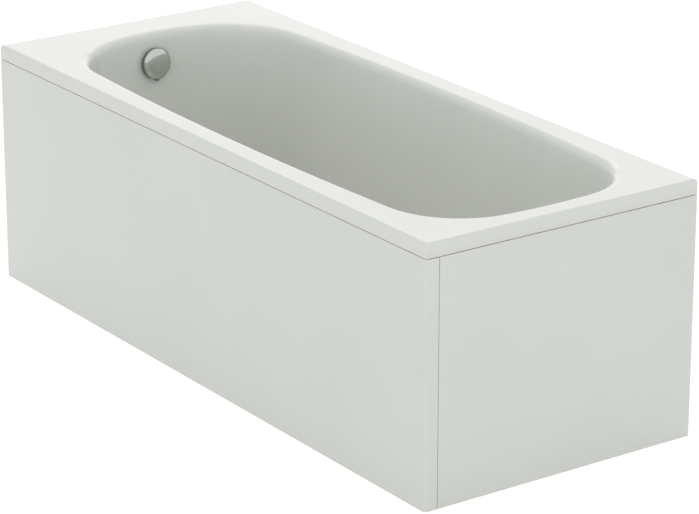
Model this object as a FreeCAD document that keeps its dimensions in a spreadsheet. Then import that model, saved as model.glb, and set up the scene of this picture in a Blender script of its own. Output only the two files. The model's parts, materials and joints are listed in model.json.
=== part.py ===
"""Panelled bathtub with an acrylic shell, adjustable feet and a turn-to-open waste.

Millimetres and degrees. The origin is on the floor, under the centre of the rim.
+X runs along the bath from the waste to the backrest, +Y to the wall, +Z up.
"""
import FreeCAD, Part
import math
import os
import re
import Sketcher
from FreeCAD import Placement, Rotation, Vector

# The driving dimensions. Each becomes one named cell of the document's spreadsheet.
SIZES = {
    # The whole bath and its shell
    "bath_length": 1700,
    "bath_width": 700,
    "bath_height": 580,
    "shell_wall": 5,
    "rim_depth": 32.5,
    "rim_edge_radius": 9,
    "rim_width_drain": 97,
    "rim_width_head": 44,
    "rim_width_side": 46,
    "roll_radius": 20,
    "floor_radius": 70,
    "floor_height": 168,
    "drain_end_draft": 5,
    "side_draft": 7,
    "backrest_slope": 27,
    # Plan of the basin: arcs of the sides and ends, and corners between them
    "side_arc_angle": 3.5,
    "drain_arc_angle": 15,
    "head_arc_angle": 5,
    # Corner radii as shares of the basin's half width at the rim and at the floor
    "drain_corner_share": 0.7072,
    "head_corner_share": 0.6053,
    "drain_floor_corner_share": 1.02,
    "head_floor_corner_share": 0.834,
    # Timber bonded to the shell
    "batten_width": 28,
    "board_thickness": 18,
    "board_waste_gap": 80,
    "board_head_inset": 355,
    "board_width": 300,
    "board_corner_radius": 30,
    # Panels
    "panel_wall": 3,
    "panel_depth": 31.6,
    "panel_set_back": 1,
    "panel_seam": 2,
    "panel_floor_gap": 2,
    "panel_corner_radius": 8,
    "corner_lip": 20,
    # Clips of folded spring steel
    "clip_sheet": 1.5,
    "clip_width": 34,
    "clip_rise": 18,
    "clip_grip": 17,
    "clip_foot": 26,
    "clip_slack": 0.4,
    "clip_spacing": 620,
    "end_clip_spacing": 380,
    "corner_clip_grip": 13,
    "corner_clip_height": 40,
    "corner_clip_spacing": 190,
    # Fixings
    "screw_slack": 0.05,
    "screw_radius": 2.2,
    "screw_length": 14,
    "screw_head_radius": 4.4,
    "screw_head_height": 2.4,
    # Wall brackets
    "bracket_sheet": 3,
    "bracket_width": 44,
    "bracket_reach": 46,
    "bracket_height": 62,
    "bracket_spacing": 1000,
    "bracket_hole_radius": 3.5,
    "bracket_hole_drop": 38,
    "bracket_screw_spacing": 24,
    # Legs
    "channel_width": 40,
    "channel_height": 25,
    "channel_sheet": 2,
    "channel_inset": 60,
    "channel_screw_spacing": 220,
    "drain_leg_inset": 35,
    "head_leg_inset": 45,
    "foot_end_inset": 35,
    "centre_plate_side": 96,
    "centre_plate_sheet": 3,
    "foot_plate_screw_spacing": 64,
    "stud_radius": 6,
    "stud_slack": 0.05,
    "stud_hole_radius": 6.5,
    "stud_reach": 20,
    "stud_head_height": 6,
    "nut_circle_radius": 10.4,
    "nut_height": 10,
    "centre_nut_height": 40,
    "foot_radius": 30,
    "foot_neck_radius": 17,
    "foot_edge_height": 5,
    "foot_height": 14,
    "foot_floor": 4,
    "foot_travel": 15,
    # Waste in the floor
    "waste_inset": 305,
    "drain_recess_radius": 43,
    "drain_recess_depth": 2.5,
    "drain_hole_radius": 26,
    "seal_thickness": 3,
    "seal_inset": 0.5,
    "waste_flange_radius": 35,
    "waste_flange_thickness": 2.5,
    "waste_neck_radius": 24.5,
    "waste_bore_radius": 21,
    "waste_neck_depth": 20,
    "guide_hub_radius": 8,
    "guide_height": 8,
    "guide_rib": 3,
    "cup_radius": 34,
    "cup_wall": 3,
    "cup_collar_radius": 38,
    "cup_collar_height": 4,
    "cup_depth": 55,
    "outlet_radius": 23.5,
    "outlet_bore_radius": 20,
    "outlet_length": 17,
    "port_radius": 16,
    "port_bore_radius": 13,
    "port_depth": 33,
    "port_length": 62,
    # Pop-up plug and the parts that lift it
    "plug_radius": 30.5,
    "plug_edge": 2.5,
    "plug_crown": 5,
    "plug_gap": 0.3,
    "plug_lift": 12,
    "stem_radius": 4,
    "stem_slack": 0.06,
    "stem_reach": 42,
    "stem_tip": 3,
    "seal_inner_radius": 14,
    "seal_height": 3,
    "finger_reach": 22,
    "finger_tip": 6,
    "finger_thickness": 6,
    "finger_width": 8,
    "lever_hub_radius": 6.5,
    "rocker_turn": 26,
    "rocker_shaft_radius": 3.5,
    "rocker_slack": 0.05,
    "rocker_boss_radius": 8,
    "rocker_boss_reach": 40,
    "lever_thickness": 5,
    "lever_reach": 20,
    "lever_tip": 8,
    "lever_width": 9,
    "nipple_radius": 2,
    "nipple_slack": 0.4,
    "core_radius": 1,
    "core_slack": 0.05,
    "core_tail": 10,
    "ferrule_radius": 3,
    "ferrule_length": 22,
    "ferrule_slack": 0.05,
    "ferrule_stand_off": 20,
    "lug_length": 12,
    "lug_width": 10,
    "lug_height": 20,
    # Overflow in the end wall
    "overflow_drop": 74,
    "overflow_sink": 0.3,
    "overflow_hole_radius": 26,
    "knob_radius": 38,
    "knob_depth": 15,
    "knob_wall": 2,
    "knob_crown": 6,
    "knob_edge": 3,
    "knob_gap": 3,
    "knob_lug_width": 9,
    "knob_lug_reach": 4,
    "knob_lug_height": 8,
    "knob_hub_radius": 8,
    "knob_turn": 90,
    "face_radius": 35,
    "face_thickness": 3.5,
    "face_neck_radius": 23.5,
    "face_bore_radius": 20,
    "face_neck_length": 20,
    "face_hub_radius": 8,
    "spindle_radius": 4,
    "overflow_seat_radius": 39,
    "gasket_radius": 36,
    "housing_flange_radius": 38,
    "housing_flange": 4,
    "housing_radius": 30,
    "housing_wall": 3,
    "housing_back": 48,
    "spout_stand_off": 30,
    "spout_reach": 74,
    "drum_flange_radius": 9,
    "drum_thickness": 8,
    "drum_gap": 1,
    "gland_reach": 26,
    "gland_width": 9,
    # Hose and cable
    "union_nut_radius": 21,
    "union_nut_length": 17,
    "union_nut_cover": 12,
    "socket_slack": 0.25,
    "hose_bend_radius": 80,
    "hose_bend_rings": 6,
    "cable_radius": 2.5,
    "cable_gap": 0.5,
    "cable_bend_radius": 60,
    "cable_straight_run": 60,
    "cable_lean": 28,
    # One overrun for every cutting tool
    "overrun": 2,
}

# Sizes and places worked out from the driving dimensions, in the order that they build on
# each other.
WORKED_OUT = {
    "half_length": "bath_length / 2",
    "half_width": "bath_width / 2",
    "rim_bottom": "bath_height - rim_depth",
    "rim_underside": "bath_height - shell_wall",
    "basin_depth": "bath_height - floor_height",
    "basin_centre": "(rim_width_drain - rim_width_head) / 2",
    "drain_place": "waste_inset - half_length",
    "board_start": "drain_place + board_waste_gap",
    "board_end": "half_length - board_head_inset",
    "board_length": "board_end - board_start",
    "board_centre": "(board_start + board_end) / 2",
    "drain_leg_place": "board_start + drain_leg_inset",
    "head_leg_place": "board_end - head_leg_inset",
    "channel_length": "bath_width - channel_inset * 2",
    "opening_half_length": "half_length - (rim_width_drain + rim_width_head) / 2",
    "opening_half_width": "half_width - rim_width_side",
    "shell_bottom": "floor_height - shell_wall",
    "board_bottom": "shell_bottom - board_thickness",
    "batten_edge": "half_width - shell_wall - batten_width",
    "end_batten_edge": "half_length - shell_wall - batten_width",
    "panel_top": "rim_bottom - panel_seam",
    "panel_height": "panel_top - panel_floor_gap",
    "panel_face": "half_width - panel_set_back",
    "panel_end_face": "half_length - panel_set_back",
    "flange_edge": "panel_face - panel_depth",
    "end_flange_edge": "panel_end_face - panel_depth",
    "seam_edge": "flange_edge - panel_seam * 0.75",
    "web_bottom": "board_bottom - channel_sheet",
    "foot_spacing": "channel_length - foot_end_inset * 2",
    "stud_top": "board_bottom + stud_reach",
    "centre_stud_top": "board_bottom - centre_plate_sheet - foot_travel - overrun",
    "seat_height": "floor_height - drain_recess_depth",
    "cup_top": "0 - shell_wall - seal_thickness",
    "plug_under": "waste_flange_thickness + plug_gap",
    "stem_end": "plug_under - stem_reach",
    "pivot_height": "stem_end - plug_gap - finger_thickness / 2",
    "nipple_height": "pivot_height - lever_reach",
    "core_side": "0 - cup_radius - ferrule_radius - cable_gap",
    "core_travel": "lever_reach * tan(rocker_turn)",
    "drum_radius": "core_travel * 180 / (pi * knob_turn)",
    "overflow_height": "bath_height - overflow_drop",
    "overflow_inset": "roll_radius * cos(drain_end_draft)"
                      " + (overflow_drop - roll_radius * (1 - sin(drain_end_draft)))"
                      " * tan(drain_end_draft)",
    "overflow_wall": "rim_width_drain + overflow_inset - half_length - overflow_sink",
    "housing_front": "0 - shell_wall - seal_thickness",
    "housing_end": "0 - housing_back - housing_wall",
    "drum_front": "housing_end - drum_gap",
    "drum_back": "drum_front - drum_thickness",
    "drum_middle": "drum_front - drum_thickness / 2",
    "knob_back": "face_thickness + knob_gap",
    "knob_front": "knob_back + knob_depth",
    "lever_side": "0 - rocker_boss_reach - overrun",
}

doc = FreeCAD.newDocument("bathtub")
sheet = doc.addObject("Spreadsheet::Sheet", "Sizes")
places = doc.addObject("App::VarSet", "Places")
finished = []


def bound(text):
    """Each word of a sum that is a size gets the name of the table that holds it."""
    def with_table(match):
        word = match.group(0)
        if word in SIZES:
            return "Sizes." + word
        return "Places." + word if word in WORKED_OUT else word
    return re.sub(r"[a-z_]+", with_table, text)


def size(name):
    """The number behind a name, for shapes that are set by Part's own functions."""
    return float(getattr(sheet if name in SIZES else places, name))


def fill_tables():
    for row, (name, number) in enumerate(SIZES.items(), start=1):
        sheet.set(f"A{row}", name)
        sheet.set(f"B{row}", str(number))
        sheet.setAlias(f"B{row}", name)
    doc.recompute()
    for name, text in WORKED_OUT.items():
        places.addProperty("App::PropertyFloat", name, "Places")
        places.setExpression(name, bound(text))
    doc.recompute()


def bind(thing, **sums):
    """Bind properties to sums of named sizes, and give the thing back."""
    for name, text in sums.items():
        thing.setExpression(name, bound(text))
    return thing


def put(thing, x="0", y="0", z="0", turn=None):
    """Place a thing at bound coordinates, turned by a fixed rotation."""
    thing.Placement = Placement(Vector(), turn or Rotation())
    for axis, text in zip("xyz", (x, y, z)):
        thing.setExpression(f"Placement.Base.{axis}", bound(text))
    return thing


def finish(thing, name):
    """Name the thing as a finished piece of the bath."""
    thing.Label = name
    finished.append(thing)
    return thing


def origin_plane(body, role):
    return next(item for item in body.Origin.OriginFeatures if item.Role == role)


def add_outline(body, plane, corners):
    """A closed outline of straight lines whose corners are bound to sums of sizes."""
    sketch = body.newObject("Sketcher::SketchObject", "outline")
    sketch.AttachmentSupport = [(origin_plane(body, plane), "")]
    sketch.MapMode = "FlatFace"
    count = len(corners)
    ring = [Vector(math.cos(2 * math.pi * i / count), math.sin(2 * math.pi * i / count), 0)
            for i in range(count)]
    sketch.addGeometry([Part.LineSegment(ring[i], ring[(i + 1) % count])
                        for i in range(count)], False)
    for i in range(count):
        sketch.addConstraint(Sketcher.Constraint("Coincident", i, 2, (i + 1) % count, 1))
    for i, (across, up) in enumerate(corners):
        for kind, text, axis in (("DistanceX", across, -2), ("DistanceY", up, -1)):
            if text == "0":
                sketch.addConstraint(Sketcher.Constraint("PointOnObject", i, 1, axis))
                continue
            row = sketch.addConstraint(Sketcher.Constraint(kind, -1, 1, i, 1, 1.0))
            sketch.setExpression(f"Constraints[{row}]", bound(text))
    return sketch


def new_body(name):
    return doc.addObject("PartDesign::Body", name)


def add_pad(body, plane, corners, length):
    pad = body.newObject("PartDesign::Pad", "pad")
    pad.Profile = add_outline(body, plane, corners)
    return bind(pad, Length=length)


def extruded(name, plane, corners, length):
    body = new_body(name)
    add_pad(body, plane, corners, length)
    return body


def turned(name, corners):
    """A body turned about its own Z axis from (radius, height) corners."""
    body = new_body(name)
    turn = body.newObject("PartDesign::Revolution", "turn")
    turn.Profile = add_outline(body, "XZ_Plane", corners)
    turn.ReferenceAxis = (turn.Profile[0], ["V_Axis"])
    turn.Angle = 360
    return body


def rectangle(left, low, right, high):
    return [(left, low), (right, low), (right, high), (left, high)]


def ring(inner, outer, low, high):
    return rectangle(inner, low, outer, high)


def cylinder(radius, height, x="0", y="0", z="0", turn=None):
    rod = doc.addObject("Part::Cylinder", "rod")
    return put(bind(rod, Radius=radius, Height=height), x, y, z, turn)


def block(length, width, height, x="0", y="0", z="0", turn=None):
    box = doc.addObject("Part::Box", "block")
    return put(bind(box, Length=length, Width=width, Height=height), x, y, z, turn)


def hexagon(radius, height, x="0", y="0", z="0", sides=6, turn=None):
    prism = doc.addObject("Part::Prism", "prism")
    prism.Polygon = sides
    return put(bind(prism, Circumradius=radius, Height=height), x, y, z, turn)


def fused(things):
    whole = doc.addObject("Part::MultiFuse", "fused")
    whole.Shapes = things
    return whole


def group(things):
    whole = doc.addObject("Part::Compound", "group")
    whole.Links = things
    return whole


def cut(base, *tools):
    rest = doc.addObject("Part::Cut", "cut")
    rest.Base = base
    rest.Tool = tools[0] if len(tools) == 1 else fused(list(tools))
    return rest


# Turns that lay a piece's own Z axis along another one
ALONG_X = Rotation(Vector(0, 1, 0), 90)
AGAINST_X = Rotation(Vector(0, 1, 0), -90)
ALONG_Y = Rotation(Vector(1, 0, 0), -90)
AGAINST_Y = Rotation(Vector(1, 0, 0), 90)
# Turns that lay a clip's profile across the edge of the front panel or the end panel
FACING_FRONT = Rotation(Vector(0, 0, 1), 90)
FACING_END = Rotation(Vector(0, 0, 1), 180)
# Two places nearer than this are the same place
NEAR = 0.001
# Where the basin's sections stand on the bend of the roll and on the bend of the floor
ROLL_STEPS = (0, 45, 84)
FLOOR_STEPS = (4, 32, 61, 90)


def basin_inset(depth, slope, roll, floor_radius, full_depth):
    """How far a wall has come in from the opening at a depth: roll, straight, floor bend."""
    lean = math.radians(slope)
    roll_end = roll * (1 - math.sin(lean))
    bend_start = full_depth - floor_radius * (1 - math.sin(lean))
    if depth <= roll_end:
        return math.sqrt(max(roll ** 2 - (roll - depth) ** 2, 0))
    straight = roll * math.cos(lean) + (min(depth, bend_start) - roll_end) * math.tan(lean)
    if depth <= bend_start:
        return straight
    height = floor_radius - (full_depth - depth)
    reach = math.sqrt(max(floor_radius ** 2 - height ** 2, 0))
    return straight + floor_radius * math.cos(lean) - reach


def arc_radii(reach, half_width, side_angle, end_angle, corner):
    """Radii of the long side arc and the end arc that a corner arc joins smoothly."""
    across = reach - corner * (math.cos(end_angle) - math.sin(side_angle))
    up = half_width - corner * (math.cos(side_angle) - math.sin(end_angle))
    flat, steep = 1 - math.cos(side_angle), 1 - math.cos(end_angle)
    share = math.sin(side_angle) * math.sin(end_angle) - steep * flat
    return ((across * math.sin(end_angle) - steep * up) / share,
            (math.sin(side_angle) * up - flat * across) / share)


def basin_section(height, half_width, ends):
    """A level outline of the basin: two side arcs, four corners and two end arcs."""
    middle = size("basin_centre")
    side_angle = math.radians(size("side_arc_angle"))
    arcs = []
    for sign, reach, end_angle, corner in ends:
        def add_arc(centre, radius, start, stop, mirror):
            """Angles run from the +Y axis towards the end of the basin."""
            arcs.append(Part.Arc(*[
                Vector(middle + sign * (centre[0] + radius * math.sin(angle)),
                       mirror * (centre[1] + radius * math.cos(angle)), height)
                for angle in (start, (start + stop) / 2, stop)]).toShape())

        side, end = arc_radii(reach, half_width, side_angle, end_angle, corner)
        last = math.pi / 2 - end_angle
        corner_centre = ((side - corner) * math.sin(side_angle),
                         half_width - side + (side - corner) * math.cos(side_angle))
        for mirror in (1, -1):
            add_arc((0, half_width - side), side, 0, side_angle, mirror)
            add_arc(corner_centre, corner, side_angle, last, mirror)
        add_arc((reach - end, 0), end, last, math.pi - last, 1)
    return Part.Wire(Part.__sortEdges__(arcs))


def basin_form(top, roll, floor_radius, corner_growth):
    """A solid of the basin: level sections down the roll, the walls and the floor bend."""
    full_depth = size("basin_depth")

    def inset(depth, slope):
        return basin_inset(depth, size(slope), roll, floor_radius, full_depth)

    depths = [roll * (1 - math.cos(math.radians(angle))) for angle in ROLL_STEPS]
    depths += [full_depth - floor_radius * (1 - math.sin(math.radians(angle)))
               for angle in FLOOR_STEPS]
    floor_half_width = size("opening_half_width") - inset(full_depth, "side_draft")
    sections = []
    for depth in depths:
        sunk = inset(depth, "side_draft") / inset(full_depth, "side_draft")
        ends = []
        for sign, name in ((1, "head"), (-1, "drain")):
            slope = "backrest_slope" if name == "head" else "drain_end_draft"
            high = size(name + "_corner_share") * size("opening_half_width")
            low = size(name + "_floor_corner_share") * floor_half_width + corner_growth
            ends.append((sign, size("opening_half_length") - inset(depth, slope),
                         math.radians(size(name + "_arc_angle")), high + (low - high) * sunk))
        half_width = size("opening_half_width") - inset(depth, "side_draft")
        sections.append(basin_section(top - depth, half_width, ends))
    return Part.makeLoft(sections, True, True)


def basin(name, top, growth):
    form = doc.addObject("Part::Feature", name)
    form.Shape = basin_form(top, size("roll_radius") - growth, size("floor_radius") + growth,
                            growth)
    return form


def add_fillet(body, wanted, radius):
    """Round the edges that a test picks out of the body as it stands."""
    doc.recompute()
    base = body.Tip
    fillet = body.newObject("PartDesign::Fillet", "rounded")
    fillet.Base = (base, [f"Edge{i}" for i, edge in enumerate(base.Shape.Edges, start=1)
                          if wanted(edge.BoundBox)])
    return bind(fillet, Radius=radius)


def is_upright(bounds):
    return bounds.XLength < NEAR and bounds.YLength < NEAR


def overflow_turn():
    """Turns a piece's own Z axis square out of the end wall, and its X axis down it."""
    return Rotation(Vector(0, 1, 0), 90 - size("drain_end_draft"))


def at_overflow(thing, start="0"):
    """Places a piece that is modelled about the overflow's axis, with Z into the bath."""
    return put(thing, f"overflow_wall + ({start}) * cos(drain_end_draft)", "0",
               f"overflow_height + ({start}) * sin(drain_end_draft)", overflow_turn())


def at_drain(thing):
    """Places a piece that is modelled from the waste's seat in the floor."""
    return put(thing, "drain_place", "0", "seat_height")


def tub_shell():
    """Acrylic shell: flat rim with a turned-down edge, rolled over into the basin."""
    rim = extruded("rim", "XY_Plane",
                   rectangle("0 - half_length", "0 - half_width", "half_length", "half_width"),
                   "rim_depth")
    add_fillet(rim, is_upright, "rim_edge_radius")
    add_fillet(rim, lambda bounds: bounds.ZMin > size("rim_depth") - NEAR,
               "rim_edge_radius")
    put(rim, z="rim_bottom")
    hollow = block("bath_length - shell_wall * 2", "bath_width - shell_wall * 2",
                   "rim_depth - shell_wall", "shell_wall - half_length",
                   "shell_wall - half_width", "rim_bottom")
    inside = basin("basin_inside", size("bath_height"), 0)
    outside = basin("basin_outside", size("rim_underside"), size("shell_wall"))
    dish = cylinder("drain_recess_radius + shell_wall", "shell_wall + drain_recess_depth",
                    "drain_place", "0", "seat_height - shell_wall")
    recess = cylinder("drain_recess_radius", "drain_recess_depth + overrun",
                      "drain_place", "0", "seat_height")
    drain = cylinder("drain_hole_radius", "shell_wall * 3",
                     "drain_place", "0", "seat_height - shell_wall * 2")
    seat = at_overflow(cylinder("overflow_seat_radius", "shell_wall"), "0 - shell_wall")
    flat = at_overflow(cylinder("overflow_seat_radius", "shell_wall"))
    overflow = at_overflow(cylinder("overflow_hole_radius", "shell_wall * 4"),
                           "0 - shell_wall * 2")
    body = fused([cut(rim, hollow), outside, dish])
    basin_cut = fused([cut(body, inside), seat])
    return finish(cut(basin_cut, recess, drain, flat, overflow), "tub_shell")


def screw(x, y, z, turn):
    """A screw whose head lies on a surface, with its shank along the turned Z axis."""
    head = hexagon("screw_head_radius", "screw_head_height", sides=8)
    put(head, z="0 - screw_head_height")
    return put(fused([head, hexagon("screw_radius", "screw_length")]), x, y, z, turn)


def screw_holes(spots):
    """Pilot holes for screws, one at each (x, y, z, turn)."""
    holes = []
    for x, y, z, turn in spots:
        hole = cylinder("screw_radius + screw_slack", "screw_length + overrun")
        holes.append(put(hole, x, y, z, turn))
    return holes


def leg_screw_spots():
    """Two screws through each channel and two through the centre plate, into the board."""
    spots = []
    for place in ("drain_leg_place", "head_leg_place"):
        for side in ("channel_screw_spacing", "0 - channel_screw_spacing"):
            spots.append((place, side + " / 2", "web_bottom", None))
    for side in ("foot_plate_screw_spacing", "0 - foot_plate_screw_spacing"):
        spots.append((f"board_centre + {side} / 2", "0",
                      "board_bottom - centre_plate_sheet", None))
    return spots


def clip_spots():
    """The middles of the clips along the front panel and along the end panel."""
    front = [f"clip_spacing * {step}" for step in (-1, 0, 1)]
    end = [f"end_clip_spacing * {step} / 2" for step in (-1, 1)]
    return front, end


def clip_screw_spots():
    """One screw through each rim clip into the batten that carries it."""
    front, end = clip_spots()
    height = "rim_bottom + clip_rise / 2"
    return ([(place, "clip_sheet - batten_edge", height, AGAINST_Y) for place in front]
            + [("end_batten_edge - clip_sheet", place, height, ALONG_X) for place in end])


def bracket_screw_spots():
    """Two screws up through each wall bracket into the back batten."""
    middle = "batten_edge + batten_width / 2"
    return [(f"bracket_spacing * {end} / 2 + bracket_screw_spacing * {side} / 2", middle,
             "rim_bottom - bracket_sheet", None)
            for end in (-1, 1) for side in (-1, 1)]


def base_board():
    """Chipboard bonded under the floor of the basin."""
    board = extruded("board", "XY_Plane",
                     rectangle("0 - board_length / 2", "0 - board_width / 2",
                               "board_length / 2", "board_width / 2"), "board_thickness")
    add_fillet(board, is_upright, "board_corner_radius")
    finish(put(board, "board_centre", "0", "board_bottom"), "base_board")


def rim_battens():
    """Timber battens bonded inside the rim: two along the sides, two across the ends."""
    depth = "rim_depth - shell_wall"
    for name, y in (("front", "shell_wall - half_width"), ("back", "batten_edge")):
        batten = block("end_batten_edge * 2", "batten_width", depth,
                       "0 - end_batten_edge", y, "rim_bottom")
        finish(batten, "rim_batten_" + name)
    for name, x in (("drain_end", "shell_wall - half_length"),
                    ("head_end", "end_batten_edge")):
        batten = block("batten_width", "bath_width - shell_wall * 2", depth,
                       x, "shell_wall - half_width", "rim_bottom")
        finish(batten, "rim_batten_" + name)


def leg_channels():
    """Steel channels across the board, open downwards, with a threaded foot at each end."""
    for name, place in (("drain_end", "drain_leg_place"), ("head_end", "head_leg_place")):
        half, inner = "channel_width / 2", "(channel_width / 2 - channel_sheet)"
        low = "board_bottom - channel_height"
        channel = extruded("channel", "XZ_Plane", [
            (f"0 - {half}", low), (f"0 - {inner}", low), (f"0 - {inner}", "web_bottom"),
            (inner, "web_bottom"), (inner, low), (half, low), (half, "board_bottom"),
            (f"0 - {half}", "board_bottom")], "channel_length")
        put(channel, place, "channel_length / 2", "0")
        holes = [cylinder("stud_hole_radius", "channel_sheet * 3", place,
                          f"foot_spacing * {side} / 2", "web_bottom - channel_sheet")
                 for side in (-1, 1)]
        holes += screw_holes([spot for spot in leg_screw_spots() if spot[0] == place])
        finish(cut(channel, *holes), "leg_channel_" + name)
    plate = block("centre_plate_side", "centre_plate_side", "centre_plate_sheet",
                  "board_centre - centre_plate_side / 2", "0 - centre_plate_side / 2",
                  "board_bottom - centre_plate_sheet")
    finish(cut(plate, *screw_holes(leg_screw_spots()[-2:])), "centre_foot_plate")


def feet():
    """Each foot: a moulded pad that holds the hexagon head of a long threaded stud."""
    places_of_feet = [
        (name + side, place, f"foot_spacing * {sign} / 2", "stud_top")
        for name, place in (("drain_", "drain_leg_place"), ("head_", "head_leg_place"))
        for side, sign in (("front", -1), ("back", 1))]
    places_of_feet.append(("centre", "board_centre", "0", "centre_stud_top"))
    for name, x, y, top in places_of_feet:
        base = hexagon("foot_radius", "foot_edge_height", x, y, sides=12)
        neck = hexagon("foot_neck_radius", "foot_height", x, y, sides=12)
        socket = hexagon("nut_circle_radius + socket_slack", "foot_height", x, y,
                         "foot_floor")
        finish(cut(fused([base, neck]), socket), "foot_pad_" + name)
        head = hexagon("nut_circle_radius", "stud_head_height", x, y, "foot_floor")
        rod = cylinder("stud_radius", f"{top} - foot_floor", x, y, "foot_floor")
        finish(fused([head, rod]), "foot_stud_" + name)


def nut(height, x, y, z):
    return cut(hexagon("nut_circle_radius", height, x, y, z),
               cylinder("stud_radius + stud_slack", f"{height} + overrun * 2", x, y,
                        f"{z} - overrun"))


def leg_nuts():
    """A nut under and over the channel's web for each foot, and a long one at the centre."""
    nuts = [nut("nut_height", place, f"foot_spacing * {side} / 2", height)
            for place in ("drain_leg_place", "head_leg_place") for side in (-1, 1)
            for height in ("web_bottom - nut_height", "board_bottom")]
    finish(group(nuts), "leg_lock_nuts")
    finish(nut("centre_nut_height", "board_centre", "0",
               "board_bottom - centre_plate_sheet - centre_nut_height"), "centre_foot_nut")


def add_shell(body, is_open, wall):
    """Hollow the body out to a wall, open at the face that a test picks."""
    doc.recompute()
    base = body.Tip
    hollow = body.newObject("PartDesign::Thickness", "hollow")
    hollow.Base = (base, [f"Face{i}" for i, face in enumerate(base.Shape.Faces, start=1)
                          if is_open(face.BoundBox)])
    hollow.Reversed = True
    hollow.Join = 1
    return bind(hollow, Value=wall)


def front_panel():
    """Front panel: a shallow tray whose near end wraps the corner and turns back as a lip."""
    panel = extruded("front", "XY_Plane",
                     rectangle("0 - panel_end_face", "0 - panel_face", "panel_end_face",
                               "0 - flange_edge"), "panel_height")
    add_fillet(panel, lambda bounds: is_upright(bounds) and bounds.XMin > 0
               and bounds.YMax < NEAR - size("panel_face"), "panel_corner_radius")
    add_shell(panel, lambda bounds: bounds.YMin > -size("flange_edge") - NEAR, "panel_wall")
    add_pad(panel, "XY_Plane",
            rectangle("panel_end_face - corner_lip", "0 - flange_edge - panel_wall",
                      "panel_end_face - panel_wall / 2", "0 - flange_edge"), "panel_height")
    finish(put(panel, z="panel_floor_gap"), "front_panel")


def end_panel():
    """End panel: a shallow tray with a narrow lip at the corner that it shares."""
    panel = extruded("end", "XY_Plane",
                     rectangle("end_flange_edge", "0 - seam_edge", "panel_end_face",
                               "panel_face"), "panel_height")
    add_shell(panel, lambda bounds: bounds.XMax < size("end_flange_edge") + NEAR,
              "panel_wall")
    put(panel, z="panel_floor_gap")
    trim = block("panel_depth - corner_lip", "panel_wall", "panel_height - panel_wall * 2",
                 "end_flange_edge", "0 - seam_edge", "panel_floor_gap + panel_wall")
    finish(cut(panel, trim), "end_panel")


def folded_clip(corners, width, x, y, turn):
    """A strip of spring steel folded to an outline of (away from panel edge, up)."""
    clip = extruded("clip", "XZ_Plane", corners, width)
    return put(clip, x, y, "0", turn)


def rim_clips():
    """Clips screwed to the battens; each hooks under the top edge of a panel."""
    hook = "panel_top - panel_wall - clip_slack"
    corners = [("0 - clip_grip", f"{hook} - clip_sheet"),
               ("clip_sheet", f"{hook} - clip_sheet"),
               ("clip_sheet", "rim_bottom + clip_rise"), ("0", "rim_bottom + clip_rise"),
               ("0", hook), ("0 - clip_grip", hook)]
    spots = clip_screw_spots()
    place_clips("rim_clips", corners, "batten_edge", "end_batten_edge", spots[:3], spots[3:])


def floor_clips():
    """Clips that stand on the floor; each grips the foot of a panel from behind."""
    grip = "panel_floor_gap + panel_wall + clip_slack"
    corners = [("0 - clip_foot", "0"), ("clip_sheet", "0"),
               ("clip_sheet", f"{grip} + clip_sheet"),
               ("0 - clip_grip", f"{grip} + clip_sheet"), ("0 - clip_grip", grip),
               ("0", grip), ("0", "clip_sheet"), ("0 - clip_foot", "clip_sheet")]
    place_clips("floor_clips", corners, "(flange_edge - clip_slack)",
                "end_flange_edge - clip_slack", [], [])


def place_clips(name, corners, front_edge, end_edge, front_screws, end_screws):
    """The same clip along the front panel and along the end panel."""
    front, end = clip_spots()
    for panel, clips, spots in (
            ("front_", [folded_clip(corners, "clip_width", f"{place} - clip_width / 2",
                                    f"0 - {front_edge}", FACING_FRONT)
                        for place in front], front_screws),
            ("end_", [folded_clip(corners, "clip_width", end_edge,
                                  f"{place} - clip_width / 2", FACING_END)
                      for place in end], end_screws)):
        whole = group(clips)
        finish(cut(whole, *screw_holes(spots)) if spots else whole, panel + name)


def corner_clips():
    """Clips pushed over the two lips that meet behind the near corner."""
    front, back = "0 - flange_edge - panel_wall - clip_slack", "panel_wall + clip_slack - seam_edge"
    low, high = f"{front} - clip_sheet", f"{back} + clip_sheet"
    base = "panel_end_face - corner_lip - clip_slack"
    reach = f"{base} + corner_clip_grip"
    corners = [(f"{base} - clip_sheet", low), (reach, low), (reach, front), (base, front),
               (base, back), (reach, back), (reach, high), (f"{base} - clip_sheet", high)]
    clips = []
    for step in (-1, 0, 1):
        clip = extruded("clip", "XY_Plane", corners, "corner_clip_height")
        put(clip, z="panel_floor_gap + panel_height / 2 - corner_clip_height / 2"
                    f" + corner_clip_spacing * {step}")
        clips.append(clip)
    finish(group(clips), "corner_clips")


def wall_brackets():
    """Angle brackets under the back batten, with a hole for a fixing into the wall."""
    brackets = []
    for side in (-1, 1):
        middle = f"bracket_spacing * {side} / 2"
        left = f"{middle} - bracket_width / 2"
        low = "rim_bottom - bracket_height"
        angle = fused([
            block("bracket_width", "bracket_reach", "bracket_sheet", left,
                  "half_width - bracket_reach", "rim_bottom - bracket_sheet"),
            block("bracket_width", "bracket_sheet", "bracket_height", left,
                  "half_width - bracket_sheet", low)])
        hole = cylinder("bracket_hole_radius", "bracket_sheet * 3", middle,
                        "half_width - bracket_sheet * 2",
                        "rim_bottom - bracket_hole_drop", ALONG_Y)
        spots = bracket_screw_spots()[:2] if side < 0 else bracket_screw_spots()[2:]
        brackets.append(cut(angle, hole, *screw_holes(spots)))
    finish(group(brackets), "wall_brackets")


def screws():
    """The three kinds of screw, each kind kept together."""
    for name, spots in (("leg_screws", leg_screw_spots()),
                        ("clip_screws", clip_screw_spots()),
                        ("wall_bracket_screws", bracket_screw_spots())):
        finish(group([screw(*spot) for spot in spots]), name)


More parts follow.
